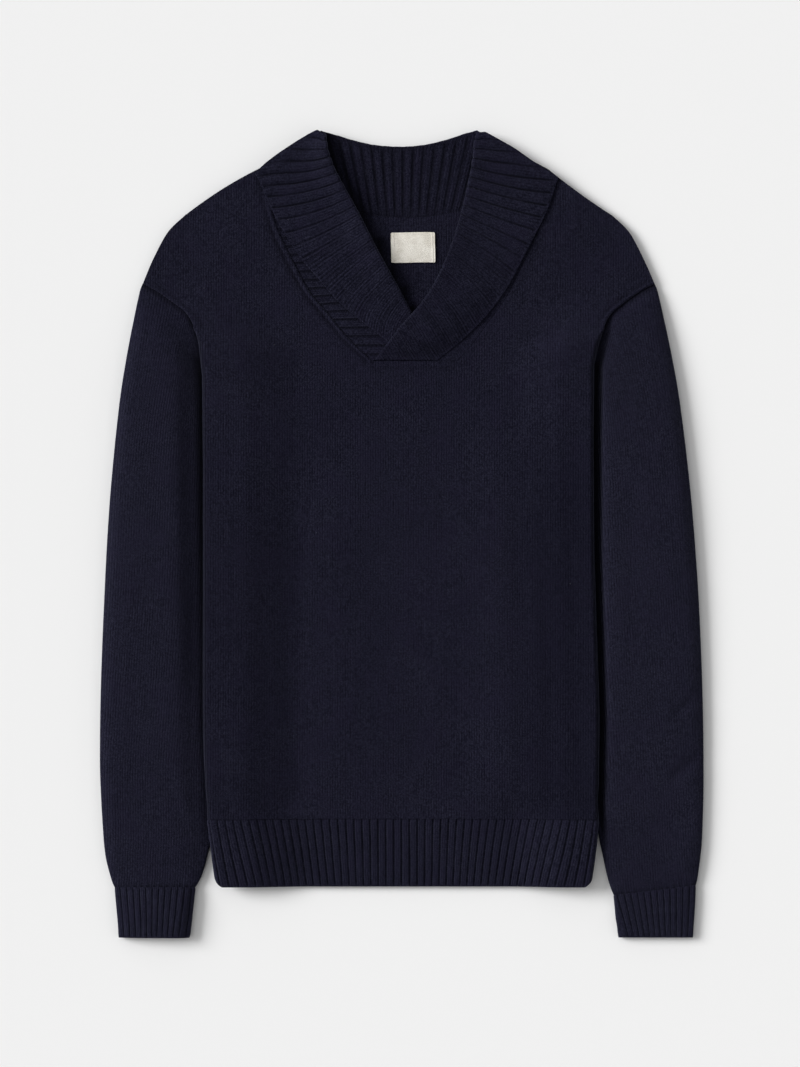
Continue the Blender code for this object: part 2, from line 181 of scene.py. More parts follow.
def even_rows(line, spacing, keep=()):
    """Row numbers that stand evenly along a line, with the ones in keep among them."""
    fine = np.linspace(0, len(line) - 1, 40 * len(line))
    steps = np.linalg.norm(np.diff(curve(line, fine), axis=0), axis=1)
    length = np.concatenate(([0], np.cumsum(steps)))
    count = round(length[-1] / spacing)
    rows = np.interp(np.linspace(0, length[-1], count + 1), length, fine)
    for row in keep:
        rows[np.abs(rows - row).argmin()] = row
    return rows


# %% Ramps, humps and the lie of the whole sweater
def mix(a, b, share):
    """The value that lies a share of the way from a to b."""
    return a + (b - a) * share


def smooth_step(value):
    """A soft ramp from 0 to 1."""
    value = np.clip(value, 0, 1)
    return value * value * (3 - 2 * value)


def bell(distance, width):
    """A soft hump: 1 in its middle, and gone at about twice its width."""
    return np.exp(-(distance / width) ** 2)


def middle_x(y):
    """The sweater was laid with a slight lean: its middle line at a height."""
    return np.interp(y, (-300.0, -220.0, -60.0, 260.0), (1.8, 0.2, 0.0, -2.9))


def neck_lift(x, y):
    """How far the collar folded behind lifts the back panel at a point."""
    up = np.clip((y - NECK_LIFT_Y[0]) / (NECK_LIFT_Y[1] - NECK_LIFT_Y[0]), 0, 1)
    inwards = np.clip((NECK_LIFT_X[0] - np.abs(x)) / (NECK_LIFT_X[0] - NECK_LIFT_X[1]), 0, 1)
    return NECK_LIFT * up * inwards


# %% A patch of cloth
def patch(across, down, place):
    """A primitive grid whose points place() lays out. place() gets each point's numbers across and
    down, and gives points, knit coordinates and relief, all in millimetres."""
    across, down = np.asarray(across, float), np.asarray(down, float)
    bpy.ops.object.select_all(action="DESELECT")
    bpy.ops.mesh.primitive_grid_add(
        x_subdivisions=len(across) - 1, y_subdivisions=len(down) - 1, size=2)
    piece = bpy.context.object
    mesh = piece.data
    flat = np.empty(3 * len(mesh.vertices))
    mesh.vertices.foreach_get("co", flat)
    column = np.rint((flat[0::3] + 1) / 2 * (len(across) - 1)).astype(int)
    row = np.rint((1 - flat[1::3]) / 2 * (len(down) - 1)).astype(int)
    points, knit, relief = place(across[column], down[row])
    mesh.vertices.foreach_set("co", (np.column_stack(points) * MM).ravel())
    height = mesh.attributes.new("relief", "FLOAT", "POINT")
    height.data.foreach_set("value", np.broadcast_to(relief, column.shape) * MM)
    corner = np.empty(len(mesh.loops), int)
    mesh.loops.foreach_get("vertex_index", corner)
    knit = np.column_stack(knit)[corner] * MM
    mesh.uv_layers[0].data.foreach_set("uv", knit.ravel())
    mesh.uv_layers[0].name = "knit"
    return piece


# %% Join the patches
MERGE_WITHIN = 0.02      # points of two patches that are this close are one point


def join_patches(name, patches):
    """Patches that share an edge become one sheet whose upper side faces up."""
    bpy.ops.object.select_all(action="DESELECT")
    for piece in patches:
        piece.select_set(True)
    sheet = patches[0]
    bpy.context.view_layer.objects.active = sheet
    if len(patches) > 1:
        bpy.ops.object.join()
    sheet.name = sheet.data.name = name
    bpy.ops.object.mode_set(mode="EDIT")
    bpy.ops.mesh.select_all(action="SELECT")
    bpy.ops.mesh.remove_doubles(threshold=MERGE_WITHIN * MM)
    bpy.ops.mesh.normals_make_consistent(inside=False)
    bpy.ops.object.mode_set(mode="OBJECT")
    top = max(sheet.data.vertices, key=lambda v: v.co.z)
    if top.normal.z < 0:
        bpy.ops.object.mode_set(mode="EDIT")
        bpy.ops.mesh.flip_normals()
        bpy.ops.object.mode_set(mode="OBJECT")
    return sheet


# %% Give the sheet its wall
FULL_SHADE_DEPTH = 0.7       # cloth that is sunk this far gets the full painted shade


def thicken(sheet, wall):
    """Give the sheet its wall, then move both its sides by the relief, so that the wall waves."""
    mesh = sheet.data
    count = len(mesh.vertices)
    normals, relief = np.empty(3 * count), np.empty(count)
    mesh.vertices.foreach_get("normal", normals)
    mesh.attributes["relief"].data.foreach_get("value", relief)
    move = mesh.attributes.new("move", "FLOAT_VECTOR", "POINT")
    move.data.foreach_set("vector", (normals.reshape(-1, 3) * relief[:, None]).ravel())
    modifier = sheet.modifiers.new("wall", "SOLIDIFY")
    modifier.thickness = wall * MM
    modifier.offset = 0.0
    modifier.use_even_offset = True
    bpy.ops.object.modifier_apply(modifier=modifier.name)
    moves, points = np.empty(3 * len(mesh.vertices)), np.empty(3 * len(mesh.vertices))
    mesh.attributes["move"].data.foreach_get("vector", moves)
    mesh.vertices.foreach_get("co", points)
    mesh.vertices.foreach_set("co", points + moves)
    # Where the relief sinks the cloth, an attribute records how much painted shade the material puts there
    sunk = np.empty(len(mesh.vertices))
    mesh.attributes["relief"].data.foreach_get("value", sunk)
    painted_shade = mesh.attributes.new("painted_shade", "FLOAT", "POINT")
    painted_shade.data.foreach_set("value", np.clip(-sunk / (FULL_SHADE_DEPTH * MM), 0, 1))
    for name in ("relief", "move"):
        mesh.attributes.remove(mesh.attributes[name])
    mesh.update()


# %% Finish a piece of cloth
SHARP_FROM = 62.0        # degrees: edges that bend less are shaded smooth


def finish_cloth(name, patches, wall, material):
    """Join, thicken, smooth and colour a sheet, hang it on the frame's root and hide the frame's piece that
    it stands for.
    """
    sheet = join_patches(name, patches)
    measured = sum(face.area for face in sheet.data.polygons)
    thicken(sheet, wall)
    bpy.ops.object.shade_smooth_by_angle(angle=math.radians(SHARP_FROM))
    sheet.data.materials.clear()
    sheet.data.materials.append(material)
    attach(sheet, "root")
    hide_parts(name.replace("_cloth", ""))
    triangles = sum(len(face.vertices) - 2 for face in sheet.data.polygons)
    print(f"{name}: {measured * 1e4:.0f} cm2 of cloth, {triangles} triangles")


# %% [markdown]
# ## Rib and creases
# A rib is a band of raised wales with a narrow sunk wale between it and the next. Its height is a
# function of the rib number, so every ribbed piece only has to say which rib a point is on. Creases
# are soft troughs and ridges. A cloth simulation could make some, but this sweater was smoothed by
# hand, so they are placed one by one, along short lines. A little slow waving keeps the flat cloth
# from looking ironed.

# %% Height of a rib
def rib_height(number, height, groove=0.24):
    """The rib's section: flat bands with rounded shoulders and narrow grooves between them."""
    from_groove = np.abs((number + 0.5) % 1.0 - 0.5) * 2
    return height * (smooth_step(from_groove / (2 * groove)) - 0.5)


def rib_ends(from_top, from_end):
    """1 along the ribs of a hem or cuff, falling to 0 at the seam and at the cast-off edge."""
    return smooth_step(from_top / 2.5) * smooth_step((from_end - 1.2) / 1.6)


def cast_off_edge(from_end):
    """The chain of loops that ends the knitting of a hem or cuff."""
    return 0.4 * bell(from_end - 0.9, 0.8)


# %% Height of creases and slow waves
Crease = namedtuple("Crease", "x0 y0 x1 y1 width height")


def crease_height(x, y, creases):
    """Troughs and ridges with a soft section, fading out at both ends."""
    total = np.zeros_like(x)
    for c in creases:
        length = math.dist((c.x0, c.y0), (c.x1, c.y1))
        along_x, along_y = (c.x1 - c.x0) / length, (c.y1 - c.y0) / length
        along = ((x - c.x0) * along_x + (y - c.y0) * along_y) / length
        aside = (y - c.y0) * along_x - (x - c.x0) * along_y
        fade = smooth_step(along * 4 + 0.5) * smooth_step((1 - along) * 4 + 0.5)
        total += c.height * fade * bell(aside, c.width)
    return total


def slow_waves(x, y, height):
    """The uneven lie of soft cloth: a few long waves that don't repeat over the sweater."""
    waves = np.sin(x / 31 + 0.8 * np.sin(y / 57)) * np.sin(y / 83 + x / 97 + 1.1)
    waves += 0.7 * np.sin(x / 19 - y / 140 + 2.0) * np.sin(y / 47 - 0.6)
    waves += 0.4 * np.sin(x / 13 + y / 29) * np.sin(y / 21 - x / 60)
    return height * waves


# %% Creases of the front
FRONT_CREASES = (
    Crease(98, 110, 98, -262, 30.0, 4.2),
    Crease(160, 120, 160, -268, 22.0, -3.2),
    Crease(141, -60, 144, -262, 7.0, -0.5),
    Crease(168, -226, 182, -258, 9.0, -0.7),
    Crease(-104, 60, -100, -262, 20.0, -1.6),
    Crease(-160, 90, -158, -240, 16.0, 1.0),
    Crease(-60, 40, -52, -200, 22.0, 1.0),
    Crease(20, -40, 40, -230, 26.0, 1.0),
    Crease(-182, -256, -98, -262, 13.0, -2.0),
    Crease(104, -262, 188, -256, 13.0, -2.0),
    Crease(-158, 120, -152, -120, 9.0, -0.7),
    Crease(52, 168, 66, 184, 2.6, 0.9),
    Crease(60, 158, 78, 150, 3.0, -0.6),
    Crease(-36, 158, -62, 150, 3.0, -0.4),
    Crease(-118, 206, -176, 226, 13.0, -0.7),
    Crease(116, 214, 182, 240, 14.0, -0.6),
    Crease(-60, 120, -150, 196, 16.0, 0.6),
    Crease(74, 110, 160, 190, 16.0, 0.6),
    Crease(-238, 256, -214, 239, 1.6, -0.5),
    Crease(205, 228, 236, 254, 1.6, -0.5),
)
print("creases on the front:", len(FRONT_CREASES))

# %% [markdown]
# ## Front, back and hem
# A panel is knitted flat. Here it lies as the folded sweater does: a middle part, two sides that
# rise over the sleeves, and below the armhole a flap that turns under at the side fold. The two
# panels and the two hem ribs share every line, one pitch apart, so one set of functions makes all
# four. An outline could also be drawn and filled, but then no row of points would follow the wales,
# and the side could not roll under evenly. A maker links the seams stitch by stitch, which leaves a
# raised line along each of them.

# %% Lines of a panel
LEFT_SHOULDER_BOW = 2.6  # how much the shoulder lines bow up and down
RIGHT_SHOULDER_BOW = -1.5


def fold_share(rows, row):
    """The side fold opens out gently at the end of the armhole seam."""
    return smooth_step(row - CORNER_ROW + 1) if rows is BODY else 1.0


def side_trim(side, y):
    """How much further in the side folds lie than their rows say, where the sleeves press on them."""
    if side < 0:
        return np.interp(y, (-190, -60, 60, 150, 184), (0.0, 1.4, 2.8, 3.2, 0.0))
    return np.interp(y, (-230, -170, -80, -20, 160, 184), (-0.6, 0.4, 3.8, 5.6, 5.6, 0.0))


def neck_line(rows, side):
    """The points of the neck edge, and of the line that carries it on below the V, on one side."""
    return line_of(rows, "left_neck" if side < 0 else "right_neck")


def side_plan(rows, side, row, share):
    """A side's point from above: share runs from the side edge (0) to the neck edge (1)."""
    corners = (SHOULDER_ROW, CORNER_ROW) if rows is BODY else ()
    neck = curve(neck_line(rows, side), row, corners)
    reach = curve(line_of(rows, "side"), row, corners)
    inset = EDGE_INSET * fold_share(rows, row) + side_trim(side, reach[:, 1])
    edge_x = middle_x(reach[:, 1]) + side * (reach[:, 0] - inset)
    near_shoulder = np.clip(1 - row / 2, 0, 1) if rows is BODY else 0.0
    bow = 4 * share * (1 - share) * near_shoulder * (LEFT_SHOULDER_BOW if side < 0 else RIGHT_SHOULDER_BOW)
    return mix(edge_x, neck[:, 0], share), mix(reach[:, 1], neck[:, 1], share) + bow


# %% Heights of a panel
# How much a side is lifted, at shares of the way from its edge to the neck edge
SIDE_LIFT = ((0.0, 0.19, 0.37, 0.59, 1.0), (BODY_LIFT, BODY_LIFT, FLAP_REST, 0.0, 0.0))


def lift_share(rows, row):
    """How far the body lies on its folded sides at a row: 0 at the shoulders, 1 below the armholes."""
    return np.clip(curve([r.lift for r in rows], row)[:, 0], 0, 1)


def top_floor(rows, row, share, x, y, layer):
    """The height of a layer's underside."""
    lifted = lift_share(rows, row) * profile(share, *SIDE_LIFT)
    return lifted + neck_lift(x, y) + layer * JERSEY_PITCH


def seam_ridge(distance, height):
    """The line of linked stitches beside a seam, with the cloth dipping next to it."""
    return height * (bell(distance - 2.2, 1.5) - 0.5 * bell(distance - 6.6, 2.4) - 0.4 * bell(distance, 0.8))


# %% How the hem ends, and how the cloth lies
HEM_CORNER = 7.0         # how far the hem's lower corners are rounded up
CORNER_START, CORNER_REACH = 171.0, 10.0   # how far out that begins, and over what width


def hem_share(y):
    """How far down the hem a height is, from 0 at its seam to 1 at its end."""
    return (HEM_SEAM_Y - y) / (HEM_SEAM_Y - HEM_END_Y)


def round_corner(rows, x, y):
    """The hem's lower corners are rounded off."""
    if rows is BODY:
        return y
    outside = smooth_step((np.abs(x - middle_x(y)) - CORNER_START) / CORNER_REACH)
    return y + HEM_CORNER * outside * hem_share(y) ** 3


def lie(x, y, layer):
    """How the cloth lies: both layers share the long waves, and the front has the creases."""
    fade = smooth_step((y - HEM_SEAM_Y) / 12)
    return fade * (0.35 + slow_waves(x, y, 0.32) + layer * crease_height(x, y, FRONT_CREASES) * 0.9)


# %% Where the points of a panel's side lie
# rows is its table, layer is 0 for the back and 1 for the front, room is what its knit takes, and
# knit and relief are functions that say how it is knitted
Panel = namedtuple("Panel", "rows layer room knit relief")


def place_side(panel, side):
    """Gives the function that lays the points of a side, from its edge (0) to the neck edge (1)."""

    def place(share, row):
        x, y = side_plan(panel.rows, side, row, share)
        z = top_floor(panel.rows, row, share, x, y, panel.layer) + lie(x, y, panel.layer)
        height = panel.relief(x, y, row, share, side)
        return (x, round_corner(panel.rows, x, y), z + 0.5 * panel.room), panel.knit(x, y), height

    return place


# %% Where the points of the folded side lie
def place_flap(panel, side):
    """Gives the function for the part folded under: turn runs round the fold (0 to 1) and on."""
    rows, layer = panel.rows, panel.layer

    def place(turn, row):
        edge_x, edge_y = side_plan(rows, side, row, 0 * row)
        lift, opened = lift_share(rows, row), fold_share(rows, row)
        share = np.clip(turn - 1, 0, 1) * opened
        flap_x, flap_y = side_plan(rows, side, row, share)
        # Under the fold the layers lie the other way up, so the front is the lower one
        below = (1 - layer) * JERSEY_PITCH
        top = top_floor(rows, row, 0 * row, edge_x, edge_y, layer) + lie(edge_x, edge_y, layer)
        low = mix(top, lift * FLAP_FLOOR + below, opened)
        flap_z = mix(top, lift * (profile(share, *SIDE_LIFT) - FLAP_REST) + below, opened)
        radius = 0.5 * (top - low)
        angle = math.pi * np.clip(turn, 0, 1)
        on_flap = turn > 1
        x = np.where(on_flap, flap_x, edge_x + side * radius * np.sin(angle))
        y = np.where(on_flap, flap_y, edge_y)
        z = np.where(on_flap, flap_z, low + radius * (1 + np.cos(angle)))
        unfolded = edge_x + side * (radius * angle + on_flap * np.abs(flap_x - edge_x))
        height = panel.relief(unfolded, y, row, 0 * share, side)
        y_rounded = round_corner(rows, unfolded, y)
        return (x, y_rounded, z + 0.5 * panel.room), panel.knit(unfolded, y), height

    return place


# %% Where the points of the middle lie
NECK_DIP = 46.5          # how deep the back neck is cut


def place_middle(panel):
    """Gives the function that lays the points between the two neck edges' lines."""
    rows, layer = panel.rows, panel.layer

    def place(share, row):
        left_x, left_y = side_plan(rows, -1, row, np.ones_like(row))
        right_x, right_y = side_plan(rows, 1, row, np.ones_like(row))
        dip = NECK_DIP * np.clip(1 - row / CORNER_ROW, 0, 1) if rows is BODY else 0.0
        x = mix(left_x, right_x, share)
        y = mix(left_y, right_y, share) - dip * (1 - (2 * share - 1) ** 2)
        z = neck_lift(x, y) + layer * JERSEY_PITCH + lie(x, y, layer)
        height = panel.relief(x, y, row, 1 + 0 * share, 0)
        return (x, y, z + 0.5 * panel.room), panel.knit(x, y), height

    return place


# %% The grids of a panel
SIDE_WIDTH = 155.0       # about how far it is from the side fold to the neck edge's line
MIDDLE_WIDTH = 88.0      # about how wide the middle part is
FLAP_END = 0.37          # the folded side reaches this share of the way in
SEAM_COLUMNS = (0, 1, 2, 3, 4.5, 6, 8, 11)   # finer columns beside a seam, for its ridge
SEAM_COLUMN_UNIT = 150.0
BODY_GRID, HEM_GRID = (3.6, 3.6, 8), (2.2, 0.95, 16)   # row, column and steps round the fold


def make_panel(panel, opening):
    """The patches of a panel or hem: two sides, two folded flaps and the middle, which starts below
    the V if the panel is open there."""
    body = panel.rows is BODY
    spacing, column, fold_steps = BODY_GRID if body else HEM_GRID
    keep = (SHOULDER_ROW, CORNER_ROW - 1, CORNER_ROW) if body else ()
    down = even_rows(neck_line(panel.rows, -1), spacing, keep)
    folded_rows = down[down >= CORNER_ROW - 1] if body else down
    middle_rows = down[down >= CORNER_ROW] if opening else down
    edge = np.array(SEAM_COLUMNS) / SEAM_COLUMN_UNIT if body else np.zeros(1)
    even = np.linspace(edge[-1], 1 - edge[-1], round(SIDE_WIDTH / column))
    across = np.unique(np.concatenate((edge, even, 1 - edge)))
    along_flap = np.linspace(0, FLAP_END, round(FLAP_END * SIDE_WIDTH / column) + 1)
    turns = np.concatenate((np.linspace(0, 1, fold_steps + 1), 1 + along_flap[1:]))
    patches = []
    for side in (-1, 1):
        patches.append(patch(across, down, place_side(panel, side)))
        patches.append(patch(turns, folded_rows, place_flap(panel, side)))
    middle = np.linspace(0, 1, round(MIDDLE_WIDTH / column))
    patches.append(patch(middle, middle_rows, place_middle(panel)))
    return patches


# %% Knit coordinates of the panels
HEM_RIB = 7.6            # from one rib of the hem to the next
# How far each rib leans towards the side over the hem's height, by how far it is from the middle
HEM_LEAN = ((0, 40, 60, 110, 142, 165, 195), (0, 3, 6, 11.5, 14.5, 11.5, 8))
WALES_A_RIB = 3          # on the hem, the cuffs and behind the neck


def plain_knit(x, y):
    """In plain knit the stitches stand in straight columns."""
    return x, y


def hem_rib_number(x, y):
    """The ribs were drawn together at both sides, so they lean inwards going down."""
    lean = profile(np.abs(x), *HEM_LEAN)
    return (x + np.sign(x) * lean * hem_share(y) + 0.5 * np.sin(x / 27 + y / 40)) / HEM_RIB


def hem_knit(x, y):
    """The stitches follow the ribs."""
    return hem_rib_number(x, y) * WALES_A_RIB * WALE, y


# %% Relief of the hem and the body
HEM_RIB_HEIGHT = 1.4
ARMHOLE_RIDGE = 0.55     # how far the linked stitches stand up along the seams
BASE_RIDGE = 0.6
LEFT_NECK_RIDGE = (0.35, 0.95)         # at the shoulder, and from the fifth row down
RIGHT_NECK_RIDGE = 0.2
ROW_UNDER_V = 10.5       # about how far the first row below the V is from its base
FOLD_SHADE_SUNK = 0.5          # the side folds sink a little and get painted shade


def hem_relief(x, y, row, share, side):
    """The ribs start at the seam and end in a thin cast-off edge."""
    from_top, from_end = HEM_SEAM_Y - y, y - HEM_END_Y
    uneven = 1 + 0.18 * np.sin(x / 23) * np.sin(y / 11 + x / 41)
    ribs = rib_height(hem_rib_number(x, y), HEM_RIB_HEIGHT, 0.21) * uneven
    return ribs * rib_ends(from_top, from_end) + cast_off_edge(from_end) - 0.5 * bell(from_top, 1.4)


def body_relief(x, y, row, share, side):
    """Raised lines of linked stitches along the armholes, the neck edge and the base of the V, and painted
    shade on the side folds.
    """
    if side == 0:
        return seam_ridge((row - CORNER_ROW) * ROW_UNDER_V, BASE_RIDGE) * (row >= CORNER_ROW)
    edge = side_plan(BODY, side, row, 0 * row)
    neck = side_plan(BODY, side, row, 0 * row + 1)
    width = np.hypot(edge[0] - neck[0], edge[1] - neck[1])
    armhole = smooth_step((row - SHOULDER_ROW) * 6) * smooth_step((CORNER_ROW - 0.5 - row) * 2)
    neckline = smooth_step((CORNER_ROW + 0.6 - row) * 2)
    ridges = armhole * seam_ridge(share * width, ARMHOLE_RIDGE)
    height = mix(*LEFT_NECK_RIDGE, smooth_step(row / 5)) if side < 0 else RIGHT_NECK_RIDGE
    round_fold = smooth_step(side * (x - edge[0]) / 3) * smooth_step((row - CORNER_ROW + 1) * 1.5)
    return ridges + neckline * seam_ridge((1 - share) * width, height) - FOLD_SHADE_SUNK * round_fold


# %% [markdown]
# ## Sleeves and cuffs
# A sleeve is a tube that was pressed flat, so its section is two walls joined by two tight bends.
# The grid's columns run once round that section, and its last column meets the first. The sleeve
# still holds some air near its outer edge, which gives it the soft round side that the light
# catches. A squashed cylinder could be the start as well, but its rings would all be alike, and here
# the first rows have to follow the armhole's curve. The cuff is the same tube in rib, with the ribs
# counted round it so that they close.

# %% Tables of the sleeves and cuffs
# Distances from the middle line and heights of a row's two ends; bulge is how far its upper wall
# stands up, and seam_shape how far it still follows the armhole seam instead of lying straight
Sleeve = namedtuple("Sleeve", "outer_x outer_y inner_x inner_y bulge seam_shape")
UPPER_SLEEVE = (
    Sleeve(243.4, 237.4, 163.0, 172.0, 1.5, 1.0),
    Sleeve(251.8, 202.8, 162.4, 134.4, 8.5, 0.6),
    Sleeve(259.3, 164.8, 159.6, 103.1, 10.6, 0.3),
    Sleeve(265.5, 126.8, 158.7, 79.3, 11.2, 0.1),
    Sleeve(272.2, 69.8, 158.7, 41.3, 11.3, 0.0),
    Sleeve(277.4, 12.8, 159.6, -6.2, 11.0, 0.0),
    Sleeve(282.1, -63.2, 162.9, -74.6, 10.0, 0.0),
    Sleeve(285.5, -148.7, 170.5, -154.4, 8.4, 0.0),
    Sleeve(286.4, -224.7, 179.1, -226.6, 7.2, 0.0),
)
LEFT_SLEEVE = UPPER_SLEEVE + (
    Sleeve(284.7, -281.7, 181.6, -283.6, 6.2, 0.0),
    Sleeve(282.8, -305.4, 185.8, -305.4, 5.6, 0.0),
    Sleeve(278.8, -322.5, 190.6, -322.5, 4.4, 0.0),
    Sleeve(274.9, CUFF_SEAM_Y + 0.1, 196.6, CUFF_SEAM_Y + 0.1, 4.0, 0.0),
)
LEFT_CUFF = (
    Sleeve(274.6, CUFF_SEAM_Y, 196.9, CUFF_SEAM_Y, 6.0, 0.0),
    Sleeve(273.0, -351.2, 198.6, -351.2, 9.0, 0.0),
    Sleeve(271.6, -367.2, 200.4, -367.2, 9.0, 0.0),
    Sleeve(270.8, CUFF_END_Y, 202.4, CUFF_END_Y, 8.0, 0.0),
)
# The right wrist lies a little further out, and its cuff was pulled slightly askew
RIGHT_SLEEVE = UPPER_SLEEVE + (
    Sleeve(284.2, -281.7, 185.2, -283.6, 6.2, 0.0),
    Sleeve(282.2, -304.4, 189.4, -306.4, 5.6, 0.0),
    Sleeve(280.2, -320.0, 194.0, -327.5, 4.4, 0.0),
    Sleeve(278.2, CUFF_SEAM_Y + 2.1, 199.0, CUFF_SEAM_Y - 7.7, 2.6, 0.0),
)
RIGHT_CUFF = (
    Sleeve(278.1, CUFF_SEAM_Y + 1.8, 199.2, CUFF_SEAM_Y - 8.0, 2.4, 0.0),
    Sleeve(277.4, -349.8, 200.4, -356.0, 2.2, 0.0),
    Sleeve(276.4, -366.6, 201.6, -369.0, 2.0, 0.0),
    Sleeve(275.4, CUFF_END_Y, 203.6, CUFF_END_Y, 1.6, 0.0),
)
print("rows that shape a sleeve:", len(LEFT_SLEEVE), "and a cuff:", len(LEFT_CUFF))

# %% Heights and creases of the sleeves
# How the bulge grows away from the body, in millimetres, and falls to the sleeve's own edges
LEFT_RISE = ((0, 1, 2.5, 5, 10, 17, 25, 34), (0.0, 0.12, 0.24, 0.28, 0.37, 0.66, 0.93, 1.0))
RIGHT_RISE = ((0, 4, 7, 9.5, 14, 24), (0.0, 0.05, 0.42, 0.68, 0.82, 0.90))
EDGE_FALL = ((0, 4, 12, 26), (0.22, 0.58, 0.90, 1.0))
OUTER_SLOPE = 0.33       # the left cuff slopes gently down to its outer edge
# How the two walls rise to meet the armhole seam, at shares of the sleeve's width
SLEEVE_COLUMNS = (0.0, 0.14, 0.28, 0.41, 0.53, 0.72, 0.86, 1.0)
RISE_UPPER = (0.0, 0.4, 1.4, 2.6, 2.0, 0.0, 0.0, 0.0)
RISE_LOWER = (0.0, 0.2, 0.8, 1.4, 1.0, 0.0, 0.0, 0.0)
CORNER_COLUMN = 5        # where the armhole seam turns in under the body
CORNER_TUCK = 3.5        # how far it is tucked in there
LEFT_SLEEVE_CREASES = (
    Crease(-274, 60, -232, 30, 7.0, -0.7),
    Crease(-205, 120, -196, -150, 8.0, -1.3),
    Crease(-282, -170, -240, -186, 6.0, -0.8),
    Crease(-284, -118, -252, -124, 5.0, -0.5),
    Crease(-270, -262, -226, -250, 8.0, -0.7),
    Crease(-222, -232, -204, -290, 6.0, -0.8),
    Crease(-232, 196, -206, 150, 9.0, 0.6),
)
RIGHT_SLEEVE_CREASES = (
    Crease(288, -148, 258, -172, 4.5, -2.0),
    Crease(288, -206, 256, -232, 5.0, -2.2),
    Crease(276, -268, 232, -284, 9.0, -0.9),
    Crease(204, -290, 264, -306, 12.0, -1.6),
    Crease(214, 40, 222, -96, 9.0, -0.6),
    Crease(262, 90, 246, 10, 11.0, -0.6),
    Crease(280, -30, 258, -44, 6.0, -0.6),
)

# %% The edge of the body, and the armhole
def body_edge(side, y):
    """Half the body's width at a height: down the armhole seam, then down the side fold."""
    side_x, side_y = np.array(line_of(BODY[SHOULDER_ROW:] + HEM[1:], "side")).T
    return np.interp(-y, -side_y, side_x) - side_trim(side, y)


def from_body(side, x, y):
    """How far a point of a sleeve is from the body's edge."""
    return side * (x - middle_x(y)) - body_edge(side, y)


def armhole_line(side):
    """The seam that the sleeve's wide end follows, from the shoulder to the hidden end."""
    points = [(middle_x(r.side_y) + side * r.side_x, r.side_y) for r in YOKE[SHOULDER_ROW:]]
    end_x = middle_x(UPPER_SLEEVE[0].inner_y) + side * UPPER_SLEEVE[0].inner_x
    corner = (points[-1][0] - side * CORNER_TUCK, points[-1][1] + 0.5 * CORNER_TUCK)
    half_way = (0.5 * (corner[0] + end_x), 0.5 * (corner[1] + UPPER_SLEEVE[0].inner_y))
    return np.array(points[:-1] + [corner, half_way, (end_x, UPPER_SLEEVE[0].inner_y)])


# %% A sleeve seen from above
def sleeve_plan(side, rows, row, share, inset):
    """A sleeve's point from above, from its outer edge (0) to its inner edge (1)."""
    ends = curve([(r.outer_x, r.outer_y, r.inner_x, r.inner_y, r.seam_shape) for r in rows], row)
    outer_x = middle_x(ends[:, 1]) + side * ends[:, 0]
    inner_x = middle_x(ends[:, 3]) + side * ends[:, 2]
    length = np.hypot(outer_x - inner_x, ends[:, 1] - ends[:, 3])
    share = mix(inset / length, 1 - inset / length, share)
    line = armhole_line(side)
    columns = range(len(SLEEVE_COLUMNS))
    on_line = curve(line, np.interp(share, SLEEVE_COLUMNS, columns), corners=(CORNER_COLUMN,))
    straight = mix(line[0], line[-1], share[:, None])
    shape = np.clip(ends[:, 4], 0, 1)
    at_seam = np.clip(1 - row, 0, 1) if len(rows) > len(LEFT_CUFF) else 0.0
    tuck = mix(0.9, -0.5, smooth_step(share * 4))
    x = mix(outer_x, inner_x, share) + shape * (on_line[:, 0] - straight[:, 0]) + side * tuck * at_seam
    y = mix(ends[:, 1], ends[:, 3], share) + shape * (on_line[:, 1] - straight[:, 1]) + 1.4 * at_seam
    return x, y, share, length


# %% Where a sleeve's points lie
def sleeve_bulge(side, rows, row, x, y, where, length):
    """How far the upper wall stands up: some air near the outer edge, and none beside the body."""
    slope = OUTER_SLOPE if rows is LEFT_CUFF else 1.0
    from_edge = np.minimum(where * slope, 1 - where) * length
    bulge = curve([r.bulge for r in rows], row)[:, 0] * profile(from_edge, *EDGE_FALL)
    return bulge * profile(from_body(side, x, y), *(LEFT_RISE if side < 0 else RIGHT_RISE))


def place_sleeve(side, rows, wall, pitch, creases, cloth):
    """Gives the function that lays the points of a tube. turn runs round it: lower wall (0 to 1),
    inner bend (to 2), upper wall (to 3), outer bend (to 4)."""
    radius, low = 0.5 * pitch, 0.5 * wall

    def place(turn, row):
        part = np.minimum(turn.astype(int), 3)
        along = turn - part
        share = np.choose(part, (along, np.ones_like(along), 1 - along, np.zeros_like(along)))
        x, y, where, length = sleeve_plan(side, rows, row, share, radius + low)
        near_seam = np.clip(curve([r.seam_shape for r in rows], row)[:, 0], 0, 1) ** 2
        inside = smooth_step(np.minimum(where, 1 - where) * 9)
        standing = sleeve_bulge(side, rows, row, x, y, where, length)
        standing += near_seam * profile(where, SLEEVE_COLUMNS, RISE_UPPER)
        standing += inside * (crease_height(x, y, creases) + slow_waves(x * 1.3, y, 0.35))
        lower = low + near_seam * profile(where, SLEEVE_COLUMNS, RISE_LOWER)
        upper = np.maximum(low + pitch + standing, lower + pitch)
        angle = math.pi * along
        swing = np.where(part == 1, -np.cos(angle), np.cos(angle))
        round_bend = 0.5 * (lower + upper) + 0.5 * (upper - lower) * swing
        z = np.choose(part, (lower, round_bend, upper, round_bend))
        reach = radius * np.sin(angle)
        x = x + side * np.choose(part, (np.zeros_like(x), -reach, np.zeros_like(x), reach))
        # How far round the tube the point is, for the ribs of a cuff
        bend, flat_width = along * math.pi * radius, length + math.pi * radius
        round_it = np.choose(part, (
            share * length, length + bend, flat_width + along * length, flat_width + length + bend))
        knit, relief = cloth(x, y, row, round_it / (2 * flat_width), where, length)
        return (x, y, z), knit, relief

    return place


